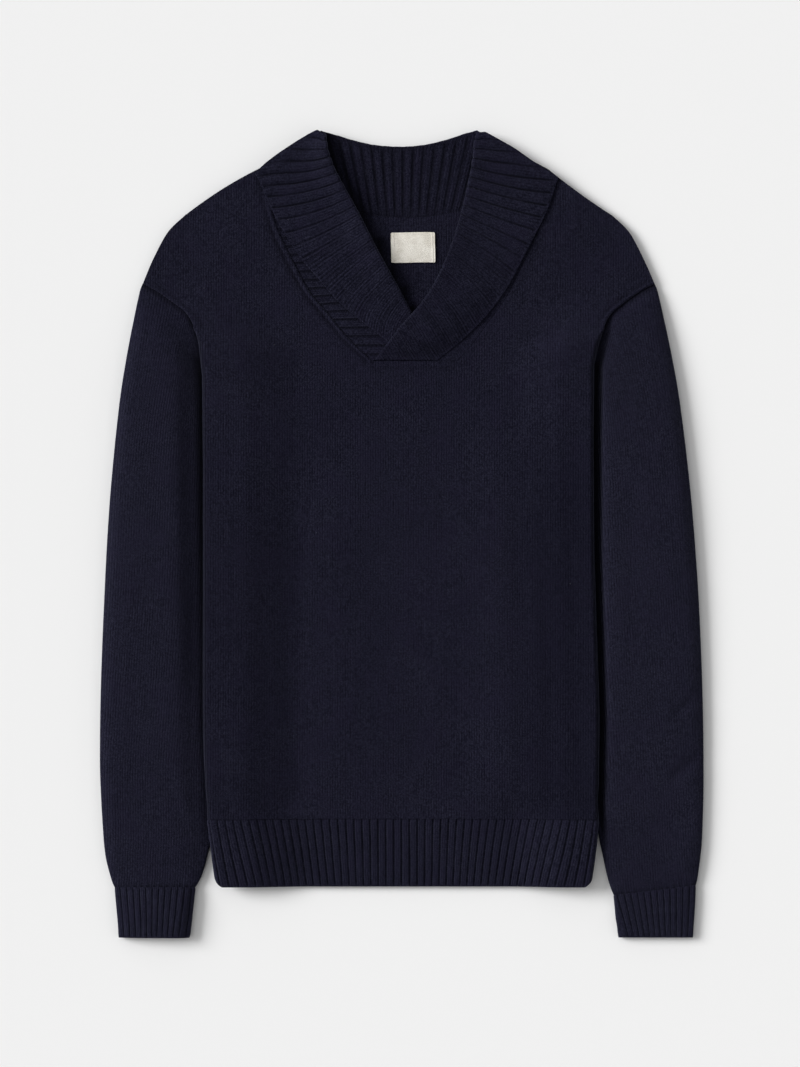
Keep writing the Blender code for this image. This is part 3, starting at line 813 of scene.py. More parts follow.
# %% How a sleeve is knitted
CREVICE_SHADE_SUNK = 0.8       # the cloth sinks beside the body and gets painted shade there
SLEEVE_ROW, LAST_SLEEVE_ROW = 40.0, 12.0   # about how far apart the first and the last rows are
GATHERS = 13             # where the sleeve is drawn together at the cuff


def sleeve_cloth(side):
    """Gives the function for the stitches and the relief of a sleeve."""

    def cloth(x, y, row, round_share, where, length):
        """Wales run along the sleeve, a line of linked stitches follows the armhole, and the cloth beside
        the body sinks and gets painted shade.
        """
        knit = (where - 0.5) * length, y
        from_armhole = row * SLEEVE_ROW
        from_cuff = (len(LEFT_SLEEVE) - 1 - row) * LAST_SLEEVE_ROW
        gathered = 0.25 * np.cos(2 * math.pi * where * GATHERS) * np.exp(-from_cuff / 3.0)
        sunk = -1.2 * bell(from_armhole, 4.0) - 0.3 * bell(from_cuff, 1.5)
        away = from_body(side, x, y)
        if side < 0:
            crevice_shade = smooth_step((13 - away) / 13) * np.interp(y, (-220, 0, 60), (0.45, 1.0, 1.15))
        else:
            crevice_shade = smooth_step((np.interp(y, (-300, 180), (7.0, 10.0)) - away) / 4)
        crevice_shade *= smooth_step((from_armhole - 14) / 20)
        sunk -= CREVICE_SHADE_SUNK * crevice_shade * (round_share > 0.5)
        return knit, sunk + gathered

    return cloth


# %% How a cuff is knitted
CUFF_RIBS = 25           # all round, so that the last rib meets the first
CUFF_RIB_HEIGHT = 1.2
RIGHT_CUFF_LEAN = -1.2   # in ribs, because that cuff was pulled askew


def cuff_cloth(side):
    """Gives the function for the ribs of a cuff."""

    def cloth(x, y, row, round_share, where, length):
        down = row / (len(LEFT_CUFF) - 1)
        lean = RIGHT_CUFF_LEAN * smooth_step(where) if side > 0 else 0.25 * np.sin(where * 6)
        lean = lean * down
        number = round_share * CUFF_RIBS + 0.3 + lean * smooth_step((0.5 - np.abs(where - 0.5)) * 12)
        from_top, from_end = down * (CUFF_SEAM_Y - CUFF_END_Y), (1 - down) * (CUFF_SEAM_Y - CUFF_END_Y)
        uneven = 1 + 0.2 * np.sin(number * 1.7) * np.sin(y / 9)
        ribs = rib_height(number, CUFF_RIB_HEIGHT, 0.22) * uneven
        relief = ribs * rib_ends(from_top, from_end) + cast_off_edge(from_end)
        return (number * WALES_A_RIB * WALE, y), relief

    return cloth


def tube_turns(wall_columns, bend_columns):
    """The grid's columns once round a tube's two walls and two bends."""
    wall = np.linspace(0, 1, wall_columns + 1)[:-1]
    turn = np.linspace(0, 1, bend_columns + 1)[:-1]
    return np.concatenate((wall, 1 + turn, 2 + wall, 3 + turn, [4.0]))


# %% [markdown]
# ## The shawl collar
# The collar is one long ribbed strip, knitted outwards from the neck edge and folded over along its
# length. Its ribs run across the strip, so each limb is a row of ribs from its seam, round the fold,
# to the free edge. Pulled into a curve they fan out, and lower down they lie closer and flatter. A
# straight strip could be bent by a modifier, but its ribs would stay evenly spaced. So tables give
# the number of the rib that each row meets at the seam, at the fold and at the free edge, and the
# surface is filled in between them.

# %% Tables of the collar
# cross is the share of the lift that takes the right limb over the left one. The three ribs are the
# numbers that a row meets at the seam, at the fold and at the free edge. flat says how far the
# grooves between the ribs have given way to the finer lines of single wales.
Limb = namedtuple("Limb", "fold_x fold_y free_x free_y cross seam_rib fold_rib free_rib flat")
LEFT_LIMB = (
    Limb(-71.3, 380.9, -139.2, 341.5, 0.0, 4.0, 0.00, 3.50, 0.0),
    Limb(-70.4, 374.0, -133.2, 330.0, 0.0, 6.0, 0.88, 4.80, 0.0),
    Limb(-69.0, 364.3, -127.2, 315.9, 0.0, 8.0, 2.10, 6.30, 0.0),
    Limb(-64.5, 350.6, -121.0, 303.0, 0.0, 9.9, 3.90, 7.50, 0.15),
    Limb(-57.8, 336.8, -114.2, 290.2, 0.0, 11.7, 5.70, 8.60, 0.4),
    Limb(-39.4, 303.5, -98.4, 264.6, 0.0, 15.3, 9.90, 10.6, 0.8),
    Limb(-21.4, 268.4, -79.0, 241.8, 0.0, 18.4, 14.2, 12.8, 1.0),
    Limb(-2.4, 234.2, -58.9, 219.0, 0.0, 21.3, 18.4, 15.3, 1.0),
    Limb(13.7, 203.7, -33.5, 198.1, 0.0, 24.3, 22.2, 17.9, 1.0),
    Limb(20.0, 189.0, -9.0, 179.0, 0.0, 26.7, 23.9, 20.6, 1.0),
)
RIGHT_LIMB = (
    Limb(70.5, 382.0, 148.6, 337.7, 0.0, 4.2, 0.00, 3.70, 0.0),
    Limb(67.6, 371.6, 144.4, 325.2, 0.0, 5.8, 1.33, 4.80, 0.0),
    Limb(66.8, 359.6, 140.6, 313.0, 0.0, 7.5, 2.69, 5.80, 0.0),
    Limb(64.2, 343.0, 136.2, 302.5, 0.0, 9.4, 4.55, 6.70, 0.0),
    Limb(60.6, 326.3, 131.2, 292.1, 0.0, 11.3, 6.43, 7.60, 0.2),
    Limb(51.8, 292.1, 117.3, 265.5, 0.3, 14.7, 10.3, 9.60, 0.7),
    Limb(39.4, 257.9, 101.2, 235.1, 0.7, 17.9, 14.3, 12.0, 0.95),
    Limb(22.3, 225.6, 81.2, 207.6, 1.0, 20.8, 18.3, 14.8, 1.0),
    Limb(-3.3, 195.2, 57.5, 183.8, 1.0, 24.2, 22.7, 17.9, 1.0),
    Limb(-26.6, 165.0, 34.0, 164.8, 0.65, 27.0, 26.5, 21.2, 1.0),
)
Stand = namedtuple("Stand", "fold_x fold_y free_x free_y")
BACK_COLLAR = (
    Stand(-75.0, 382.6, -139.0, 341.5),
    Stand(-62.5, 379.2, -119.0, 327.0),
    Stand(-46.0, 374.0, -86.0, 308.0),
    Stand(-25.0, 369.4, -47.0, 295.0),
    Stand(0.0, 367.8, 3.3, 290.5),
    Stand(23.0, 369.8, 53.0, 295.0),
    Stand(43.0, 374.6, 92.0, 308.0),
    Stand(58.5, 379.6, 125.0, 327.0),
    Stand(70.5, 382.6, 147.0, 337.0),
)
print("rows that shape a limb:", len(LEFT_LIMB), "and the strip behind the neck:", len(BACK_COLLAR))
# How far the first rows of the fall bow upwards, by their share of the way from fold to free edge
LEFT_BOW = ((0, 0.1, 0.29, 0.58, 0.81, 1), (0, 6.2, 7.2, 6.2, 4.0, 1.0))
RIGHT_BOW = ((0, 0.1, 0.4, 0.7, 1), (0, 3.6, 3.9, 1.4, 0))

# %% Sizes of the collar, in millimetres
COLLAR_FLOOR = RIB_PITCH + 0.5 * RIB   # the strip's middle where it is sewn on
COLLAR_SEAM_GAP = 0.4
CROSS_LIFT = 5.2         # how far the right limb climbs over the left one
CROSS_START = 0.45       # share of the width in which it climbs
CROSS_END_LOW = 4.6      # height of its sewn-down end, and how much higher the fall lies there
CROSS_END_STEP = 1.1
LEFT_ROLL, RIGHT_ROLL = 9.0, 1.8       # how far the folds stand up, soft and round
ROLL_WIDTH = 15.0        # how far from the fold the roll reaches
COLLAR_RIB_HEIGHT = 1.6
COLLAR_WALES = 4         # wales on each rib of the limbs
FREE_EDGE_SUNK = 0.6     # the right limb's free edge lies close to the body
BACK_STAND = 70.0        # about the strip's width behind the neck, from seam to fold
BACK_RISE = 4.5          # how far the fold behind the neck stands above the seam
BACK_RIB = 9.3           # from one rib to the next behind the neck
BACK_RIB_HEIGHT = 0.68
BACK_SHADE_SUNK = 0.38         # the strip behind the neck sinks a little and gets painted shade
BESIDE_FOLD_SHADOW = 0.34  # and more, as painted shadow, right beside the left limb's fold
FAR_AWAY = 99.0          # stands for a distance on a part that doesn't reach the edge in question

# %% Where a folded strip's points lie
def softened(value):
    """A ramp from 0 to 1 with both its corners rounded."""
    return np.mean([np.clip(value + d, 0, 1) for d in np.linspace(-0.3, 0.3, 7)], axis=0)


def half_turn(along):
    """How high a point is on a half circle that starts at the bottom, from 0 to 1."""
    return 0.5 * (1 - np.cos(math.pi * along))


def by_part(part, stand, bend, fall):
    """Picks the value for the stand, for the bend at the fold or for the fall."""
    return np.where(part == 0, stand, np.where(part == 1, bend, fall))


def folded_strip(turn, seam, fold, free, step_up, climb):
    """A point of a strip that is sewn at its seam and folded over: turn runs from the seam to the
    fold (0 to 1), round the fold (to 2) and on to the free edge (to 3)."""
    radius = 0.5 * abs(step_up)
    part = np.minimum(turn.astype(int), 2)
    along = turn - part
    out = (fold - seam) / np.linalg.norm(fold - seam, axis=1)[:, None]
    edge = fold - out * (radius + 0.5 * RIB)
    stand = mix(seam + out * COLLAR_SEAM_GAP, edge, along[:, None])
    fall = mix(edge, free, along[:, None])
    bend = edge + out * (radius * np.sin(math.pi * along))[:, None]
    place = by_part(part[:, None], stand, bend, fall)
    share = by_part(part, along, 1.0, 1 - along)
    swing = by_part(part, 0.0, half_turn(along), 1.0)
    z = COLLAR_FLOOR + climb * softened(share / CROSS_START) + swing * step_up
    return place[:, 0], place[:, 1], z, part, along


# %% Roll and relief of a limb
def collar_ribs(number, flat, height):
    """Deep grooves between bands of wales, giving way to even fine lines lower down."""
    deep = rib_height(number, height, 0.24)
    fine = rib_height(number * 3, 0.42 * height, 0.5) + rib_height(number * 0.5 + 0.3, 0.16 * height, 0.5)
    return mix(deep, fine, flat)


def limb_roll(side, row, part, along, from_fold):
    """How far a limb's fold stands up. It is let down where the limbs cross."""
    height = LEFT_ROLL if side < 0 else RIGHT_ROLL
    end_row, rows_down = (7.9, 1.6) if side < 0 else (9.0, 3.0)
    reach = smooth_step((end_row - row) / rows_down)
    roll = height * mix(0.45, 1.0, smooth_step(row / 2)) * reach * bell(from_fold, ROLL_WIDTH)
    return roll * by_part(part, 0.0, half_turn(along), 1.0)


def crossing_end(side, row):
    """1 at the end of the right limb, which is sewn down along the base of the V."""
    return smooth_step((row - 8.2) / 0.8) if side > 0 else 0.0


def limb_relief(side, row, part, along, number, flat, from_fold, from_free):
    """Ribs that are fainter round the fold, a rim at the free edge, and painted shade on the right limb's
    fold and the left limb's stand.
    """
    uneven = 1 + 0.30 * np.sin(number * 2.3 + 0.6) * np.sin(from_fold / 17 + number / 3)
    uneven += 0.14 * np.sin(from_fold / 4.5 + number * 4.1)
    ribs = collar_ribs(number, np.clip(flat, 0, 1) * (part > 0), COLLAR_RIB_HEIGHT) * uneven
    round_fold = np.sin(math.pi * along)
    shown = by_part(part, 0.8 if side < 0 else 0.0, 0.8 - 0.4 * round_fold,
                    0.8 + 0.2 * smooth_step(from_fold / 5))
    ends = smooth_step((from_free - 1.4) / 1.4) * mix(0.3, 1.0, smooth_step(row / 0.8))
    rim = (0.75 if side < 0 else 0.2) * bell(from_free - 1.0, 0.9) * (1 - crossing_end(side, row))
    shade = 0.3 * (part == 0) if side < 0 else 0.6 * round_fold * (part == 1)
    return ribs * shown * ends + rim - shade


# %% Where the points of a limb lie
def place_limb(side, table):
    """Gives the function that lays the points of a limb of the collar."""

    def place(turn, row):
        at = Limb(*curve(table, row).T)
        seam = curve(neck_line(YOKE, side), row)
        fold, free = np.column_stack((at.fold_x, at.fold_y)), np.column_stack((at.free_x, at.free_y))
        climb = CROSS_LIFT * np.clip(at.cross, 0, 1)
        x, y, z, part, along = folded_strip(turn, seam, fold, free, RIB_PITCH, climb)
        z += neck_lift(x, y)
        width = np.linalg.norm(free - fold, axis=1)
        from_fold = by_part(part, 0.0, 0.0, along * width)
        from_free = by_part(part, FAR_AWAY, FAR_AWAY, (1 - along) * width)
        on_fall = part == 2
        bow = profile(along, *(LEFT_BOW if side < 0 else RIGHT_BOW)) * np.clip(1 - row / 2.5, 0, 1) ** 1.5
        y = y + on_fall * bow
        z += limb_roll(side, row, part, along, from_fold)
        z += on_fall * (0.7 * np.sin(math.pi * along) ** 2 + slow_waves(x * 1.6, y * 1.6, 0.3))
        if side > 0:
            z -= FREE_EDGE_SUNK * smooth_step((9 - from_free) / 9)
        step = by_part(part, 0.0, smooth_step(along), 1.0)
        z = mix(z, CROSS_END_LOW + CROSS_END_STEP * step, crossing_end(side, row))
        number = by_part(part, mix(at.seam_rib, at.fold_rib, along), at.fold_rib,
                         mix(at.fold_rib, at.free_rib, along))
        across = by_part(part, along, 1.0, 1 + along) * width
        relief = limb_relief(side, row, part, along, number, at.flat, from_fold, from_free)
        return (x, y, z), (number * COLLAR_WALES * WALE, across), relief

    return place


# %% Where the points of the collar behind the neck lie
def beside_left_fold(x, y):
    """1 right beside the left limb's fold, whose painted shadow darkens the neck's inside, and 0 away from
    it.
    """
    line_x, line_y = np.array(line_of(LEFT_LIMB, "fold")).T
    fold_x = np.interp(-y, -line_y, line_x)
    return smooth_step((np.interp(y, (210, 360), (5.2, 10.5)) - np.abs(x - fold_x)) / 2.8)


def back_rib_number(x, y):
    """Behind the neck the ribs stand upright and fan out a little towards the fold."""
    return (x - 1.5) / (BACK_RIB * (0.80 + 0.28 * np.clip((y - 300) / 70, -0.5, 1.2)))


def place_back_collar(turn, row):
    """Lays the points of the strip behind the neck, whose fall is folded down behind it."""
    share = row / (len(BACK_COLLAR) - 1)
    seam = mix(np.array(neck_line(YOKE, -1)[0]), np.array(neck_line(YOKE, 1)[0]), share[:, None])
    seam[:, 1] -= NECK_DIP * (1 - (2 * share - 1) ** 2)
    at = Stand(*curve(BACK_COLLAR, row).T)
    fold, free = np.column_stack((at.fold_x, at.fold_y)), np.column_stack((at.free_x, at.free_y))
    x, y, z, part, along = folded_strip(turn, seam, fold, free, -RIB_PITCH, 0.0)
    to_fold = by_part(part, along, 1.0, 1 - along)
    z = z + BACK_RISE * to_fold ** 2
    width = np.linalg.norm(free - fold, axis=1)
    number = np.where(part == 0, back_rib_number(x, y), back_rib_number(at.fold_x, at.fold_y))
    across = by_part(part, along * BACK_STAND, BACK_STAND, BACK_STAND + along * width)
    from_seam = by_part(part, along * BACK_STAND, FAR_AWAY, FAR_AWAY)
    from_free = by_part(part, FAR_AWAY, FAR_AWAY, (1 - along) * width)
    ends = smooth_step((from_free - 0.8) / 2.4) * (0.3 + 0.7 * smooth_step(from_seam / 12.0))
    ends *= 1 - 0.75 * smooth_step((to_fold - 0.90) / 0.1)
    uneven = 1 + 0.30 * np.sin(number * 1.9) * np.sin(y / 13) + 0.12 * np.sin(number * 4.7 + y / 4)
    ribs = rib_height(number, BACK_RIB_HEIGHT, 0.32) + 0.09 * np.cos(2 * math.pi * WALES_A_RIB * number)
    # painted shade over the whole strip, and painted shadow beside the left limb's fold
    relief = ribs * uneven * ends - BACK_SHADE_SUNK - BESIDE_FOLD_SHADOW * beside_left_fold(x, y)
    return (x, y, z), (number * WALES_A_RIB * WALE, across), relief


def strip_turns(stand_columns, bend_columns, fall_columns):
    """The grid's columns over the stand, the bend and the fall."""
    return np.concatenate((np.linspace(0, 1, stand_columns + 1), 1 + np.linspace(0, 1, bend_columns + 1)[1:],
                           2 + np.linspace(0, 1, fall_columns + 1)[1:]))


# %% [markdown]
# ## Knitted wool
# Up close, knit is rows of small V shapes, each with two leaning legs. Modelled one by one they
# would take millions of faces, so the material draws them as bump from the knit coordinates: a wale
# is one V wide and a course is one V high, and paints shade into the colour between them. Wool also
# has a halo of loose fibres, so there is a little sheen, some uneven dye and hardly any shine. The
# rib uses the same stitches, and its coordinates put three wales on each rib, or four on the collar's
# limbs. Broad soft bands of painted shade darken the body near its sides, in place of the shading of
# its slopes, and a little painted light lightens the sleeves and cuffs.

# %% Nodes for sums, noise and colours
def chain(tree, operation, first, second=None, third=None):
    """One math node: its inputs are sockets or plain numbers, and it gives its output socket."""
    node = tree.nodes.new("ShaderNodeMath")
    node.operation = operation
    for slot, value in zip(node.inputs, (first, second, third)):
        if value is None:
            continue
        if isinstance(value, (int, float)):
            slot.default_value = value
        else:
            tree.links.new(value, slot)
    return node.outputs[0]


def noise(tree, coordinates, scale, detail=2.0, roughness=0.5):
    """Soft noise with about scale lumps to the metre."""
    node = tree.nodes.new("ShaderNodeTexNoise")
    node.inputs["Scale"].default_value = scale
    node.inputs["Detail"].default_value = detail
    node.inputs["Roughness"].default_value = roughness
    tree.links.new(coordinates, node.inputs["Vector"])
    return node.outputs["Fac"]


def blend_colour(tree, share, first, second):
    """The first colour where share is 0 and the second where it is 1."""
    node = tree.nodes.new("ShaderNodeMix")
    node.data_type = "RGBA"
    for slot, value in ((node.inputs[0], share), (node.inputs[6], first), (node.inputs[7], second)):
        if isinstance(value, tuple):
            slot.default_value = (*value, 1.0)
        else:
            tree.links.new(value, slot)
    return node.outputs[2]


def spread(tree, value, low, high, to_low=0.0, to_high=1.0):
    """Stretches the values from low to high, softly at both ends."""
    node = tree.nodes.new("ShaderNodeMapRange")
    node.interpolation_type = "SMOOTHSTEP"
    for slot, number in zip(node.inputs[1:5], (low, high, to_low, to_high)):
        slot.default_value = number
    tree.links.new(value, node.inputs[0])
    return node.outputs[0]


# %% A new material, and where a point is in its cloth
def start_material(name, roughness, specular, sheen, sheen_roughness):
    """A new material with its finish set, its node tree and its shader."""
    material = bpy.data.materials.new(name)
    material.use_nodes = True
    shader = material.node_tree.nodes["Principled BSDF"]
    shader.inputs["Roughness"].default_value = roughness
    shader.inputs["Specular IOR Level"].default_value = specular
    shader.inputs["Sheen Weight"].default_value = sheen
    shader.inputs["Sheen Roughness"].default_value = sheen_roughness
    return material, material.node_tree, shader


def separate(tree, vector):
    """The X and Y of a vector."""
    node = tree.nodes.new("ShaderNodeSeparateXYZ")
    tree.links.new(vector, node.inputs[0])
    return node.outputs["X"], node.outputs["Y"]


def knit_place(tree):
    """Where a point is in its cloth, across and up, and where it is in space, all in metres."""
    knit = tree.nodes.new("ShaderNodeUVMap")
    knit.uv_map = "knit"
    across, up = separate(tree, knit.outputs["UV"])
    return across, up, tree.nodes.new("ShaderNodeTexCoord").outputs["Object"]


def add_bump(tree, shader, height, depth):
    """Lets the light see a height, drawn depth millimetres deep."""
    bump = tree.nodes.new("ShaderNodeBump")
    bump.inputs["Distance"].default_value = depth * MM
    tree.links.new(height, bump.inputs["Height"])
    tree.links.new(bump.outputs["Normal"], shader.inputs["Normal"])


# %% Colours and unevenness of the yarn
NAVY_DEEP = (0.0022, 0.0021, 0.0064)
NAVY = (0.0098, 0.0098, 0.0205)
NAVY_LIGHT = (0.0250, 0.0248, 0.0430)
NAVY_VIOLET = (0.0092, 0.0078, 0.0195)
LINT = (0.050, 0.050, 0.066)
BLUISH = (0.62, 0.66, 1.0, 1.0)        # of the light that the halo of fibres catches
# How fine each kind of unevenness is, in lumps to the metre
FIBRES, TUFTS, FUZZ, WOBBLE, BLOTCHES, WEAR, DYE, CLOUDS = 1500, 560, 420, 160, 150, 95, 38, 14


def tinted(tint, colour):
    """The colour, lighter or darker by a factor."""
    return tuple(tint * c for c in colour)


# %% Stitches and yarn
def draw_stitches(tree, across, up, solid):
    """The height of the loops: a V one wale wide and one course high, and the gap beside it."""
    wobble = chain(tree, "MULTIPLY_ADD", noise(tree, solid, WOBBLE), 0.5, -0.25)
    wale = chain(tree, "MULTIPLY_ADD", across, 1 / (WALE * MM), wobble)
    in_wale = chain(tree, "FRACT", wale)
    from_middle = chain(tree, "ABSOLUTE", chain(tree, "MULTIPLY_ADD", in_wale, 2.0, -1.0))
    rise = chain(tree, "MULTIPLY_ADD", from_middle, -0.75, wobble)
    course = chain(tree, "FRACT", chain(tree, "MULTIPLY_ADD", up, 1 / (COURSE * MM), rise))
    loop = chain(tree, "SINE", chain(tree, "MULTIPLY", course, math.pi))
    stitch = chain(tree, "MULTIPLY_ADD", loop, 0.45, 0.55)
    gap = spread(tree, from_middle, 0.40, 1.0)
    worn = chain(tree, "MULTIPLY_ADD", spread(tree, noise(tree, solid, WEAR), 0.35, 0.65), -0.35, -0.30)
    return chain(tree, "MULTIPLY", stitch, chain(tree, "MULTIPLY_ADD", gap, worn, 1.0))


def yarn_colour(tree, stitch, fibres, cloudy, solid, tint):
    """Painted shade in deep navy between the stitches, navy on them, lighter tufts, and a dye that is a
    little uneven.
    """
    tufts = spread(tree, noise(tree, solid, TUFTS, 1.5, 0.6), 0.36, 0.66)
    blotches = spread(tree, noise(tree, solid, BLOTCHES, 3.0, 0.6), 0.35, 0.65)
    shade = chain(tree, "MULTIPLY_ADD", stitch, 0.46, chain(tree, "MULTIPLY", tufts, 0.42))
    shade = chain(tree, "MULTIPLY_ADD", blotches, 0.16, shade)
    shade = chain(tree, "MULTIPLY_ADD", shade, 1.35, -0.19)
    colour = blend_colour(tree, shade, tinted(tint, NAVY_DEEP), tinted(tint, NAVY))
    light_fibres = chain(tree, "MULTIPLY", tufts, spread(tree, fibres, 0.42, 0.70))
    light_fibres = chain(tree, "MULTIPLY", light_fibres, spread(tree, cloudy, 0.30, 0.70, 0.55, 1.0))
    colour = blend_colour(tree, light_fibres, colour, tinted(tint, NAVY_LIGHT))
    dyed = spread(tree, noise(tree, solid, DYE), 0.42, 0.68, 0.0, 0.30)
    return blend_colour(tree, dyed, colour, tinted(tint, NAVY_VIOLET))


# %% Nap, grooves and lint
PANEL_SIDE = (0.187, 0.195)            # metres from the middle to where the panels end
RIGHT_SHADE_BAND = (0.095, 0.138)            # painted shade grows from the first to the second of these,
LEFT_SHADE_BAND = (-0.095, -0.130)           # in metres, and less so on the left
LEFT_SHADE_SHARE = 0.38
SLEEVE_LIGHT_SHARE = 0.075   # how much painted light lightens the sleeves and cuffs
GROOVE_SHADE = 0.80
LINT_CELLS = 75.0        # cells to the metre, each of which can hold one speck
LINT_FROM = 0.93         # a cell holds one if its random number is above this
LINT_SIZE = 0.035        # radius of a speck, as a share of a cell


def painted_tone_bands(tree, across, solid, drift):
    """Painted shade in broad bands near the body's sides, in place of the shading of its slopes, and
    painted light on the sleeves and cuffs. The shade is told by the knit coordinates, so that the
    flaps folded under are left out."""
    x, y = separate(tree, solid)
    drifted = chain(tree, "MULTIPLY_ADD", drift, 0.05, chain(tree, "ADD", across, -0.025))
    right = chain(tree, "MULTIPLY", spread(tree, drifted, *RIGHT_SHADE_BAND), spread(tree, y, 0.16, 0.0))
    left = spread(tree, drifted, *LEFT_SHADE_BAND, 0.0, LEFT_SHADE_SHARE)
    left = chain(tree, "MULTIPLY", left, spread(tree, y, 0.12, -0.03))
    outside = spread(tree, chain(tree, "ABSOLUTE", x), *PANEL_SIDE)
    standing = chain(tree, "MULTIPLY", outside, spread(tree, y, 0.22, 0.14))
    on_top = chain(tree, "SUBTRACT", 1.0, spread(tree, chain(tree, "ABSOLUTE", across), *PANEL_SIDE))
    return chain(tree, "MULTIPLY", chain(tree, "ADD", left, right), on_top), standing


def paint_sunk_shade(tree, colour, tint):
    """Painted shade where the cloth is sunk: little light gets down between the ribs and under the folds."""
    painted_shade = tree.nodes.new("ShaderNodeAttribute")
    painted_shade.attribute_name = "painted_shade"
    in_groove = chain(tree, "MULTIPLY", painted_shade.outputs["Fac"], GROOVE_SHADE)
    return blend_colour(tree, in_groove, colour, tinted(tint * 0.4, NAVY_DEEP))


def add_lint(tree, colour, solid):
    """A few pale specks of lint, one on about every fourteenth cell of a scattered grid."""
    cells = tree.nodes.new("ShaderNodeTexVoronoi")
    cells.inputs["Scale"].default_value = LINT_CELLS
    tree.links.new(solid, cells.inputs["Vector"])
    pick = tree.nodes.new("ShaderNodeSeparateColor")
    tree.links.new(cells.outputs["Color"], pick.inputs[0])
    chosen = chain(tree, "GREATER_THAN", pick.outputs[0], LINT_FROM)
    near = chain(tree, "LESS_THAN", cells.outputs["Distance"], LINT_SIZE)
    return blend_colour(tree, chain(tree, "MULTIPLY", chosen, near), colour, LINT)


# %% The two knitted materials
def knit_material(name, stitch_depth, tint, side_band_shade):
    """Wool in one knit; its last argument says how dark the painted shade bands near the body's sides are.
    """
    material, tree, shader = start_material(
        name, roughness=0.92, specular=0.05, sheen=0.13, sheen_roughness=0.36)
    shader.inputs["Sheen Tint"].default_value = BLUISH
    across, up, solid = knit_place(tree)
    stitch = draw_stitches(tree, across, up, solid)
    fibres = noise(tree, solid, FIBRES, 3.0, 0.7)
    fuzz = noise(tree, solid, FUZZ, 3.0, 0.65)
    cloudy = noise(tree, solid, CLOUDS, 3.0, 0.6)
    colour = yarn_colour(tree, stitch, fibres, cloudy, solid, tint)
    # painted shade in bands near the body's sides, and painted light on the sleeves and cuffs
    flat, standing = painted_tone_bands(tree, across, solid, cloudy)
    colour = blend_colour(tree, chain(tree, "MULTIPLY", flat, side_band_shade), colour, NAVY_DEEP)
    colour = blend_colour(tree, chain(tree, "MULTIPLY", standing, SLEEVE_LIGHT_SHARE), colour, NAVY_LIGHT)
    colour = add_lint(tree, paint_sunk_shade(tree, colour, tint), solid)
    tree.links.new(colour, shader.inputs["Base Color"])
    tree.links.new(spread(tree, fuzz, 0.3, 0.7, 0.86, 0.98), shader.inputs["Roughness"])
    height = chain(tree, "MULTIPLY_ADD", fuzz, 0.35, stitch)
    add_bump(tree, shader, chain(tree, "MULTIPLY_ADD", fibres, 0.18, height), stitch_depth)
    print("material:", name)
    return material


jersey_wool = knit_material("jersey_wool", stitch_depth=0.85, tint=0.97, side_band_shade=0.40)
rib_wool = knit_material("rib_wool", stitch_depth=0.80, tint=1.02, side_band_shade=0.0)

# %% [markdown]
# ## Making the knitted pieces
# Every place function and material is ready now, so each piece is a short call: its name, its
# patches, its wall and its material. The back panel needs its own relief, because the front hides
# its seams and only the inside of the neck shows.

# %% Make the panels and the hem
NECK_SHADOW_SUNK = 0.75      # how far the inside of the neck sinks beside the collar's fold, where it gets painted shadow
LEFT_FOLD_END_Y = 205.0


def back_relief(x, y, row, share, side):
    """Inside the neck only the seams at the armholes show on the back panel, and painted shadow beside the
    left limb's fold.
    """
    if side == 0:
        return -NECK_SHADOW_SUNK * beside_left_fold(x, y) * (y > LEFT_FOLD_END_Y)
    return body_relief(x, y, row, 0.5 * share, side) * smooth_step((0.5 - share) * 8)


front = Panel(BODY, 1, JERSEY, plain_knit, body_relief)
finish_cloth("front_panel_cloth", make_panel(front, opening=True), JERSEY, jersey_wool)
back = Panel(BODY, 0, JERSEY, plain_knit, back_relief)
finish_cloth("back_panel_cloth", make_panel(back, opening=False), JERSEY, jersey_wool)
for name, layer, below in (("hem_front", 1, "hem_back_cloth"), ("hem_back", 0, "sleeve_left_cloth")):
    hem = Panel(HEM, layer, RIB, hem_knit, hem_relief)
    finish_cloth(name + "_cloth", make_panel(hem, opening=False), RIB_SKIN, rib_wool)

# %% Make the sleeves and cuffs
SLEEVE_STEP, CUFF_STEP = 3.6, 2.4      # from one row of the grid to the next
sleeve_turns = tube_turns(wall_columns=52, bend_columns=8)
cuff_turns = tube_turns(wall_columns=88, bend_columns=7)
for side, word, sleeve, cuff, creases in (
        (-1, "left", LEFT_SLEEVE, LEFT_CUFF, LEFT_SLEEVE_CREASES),
        (1, "right", RIGHT_SLEEVE, RIGHT_CUFF, RIGHT_SLEEVE_CREASES)):
    sleeve_rows = even_rows(line_of(sleeve, "outer"), SLEEVE_STEP)
    cuff_rows = even_rows(line_of(cuff, "outer"), CUFF_STEP)
    place = place_sleeve(side, sleeve, JERSEY, JERSEY_PITCH, creases, sleeve_cloth(side))
    finish_cloth("sleeve_" + word + "_cloth", [patch(sleeve_turns, sleeve_rows, place)], JERSEY, jersey_wool)
    place = place_sleeve(side, cuff, RIB, RIB_PITCH, (), cuff_cloth(side))
    finish_cloth("cuff_" + word + "_cloth", [patch(cuff_turns, cuff_rows, place)], RIB_SKIN, rib_wool)

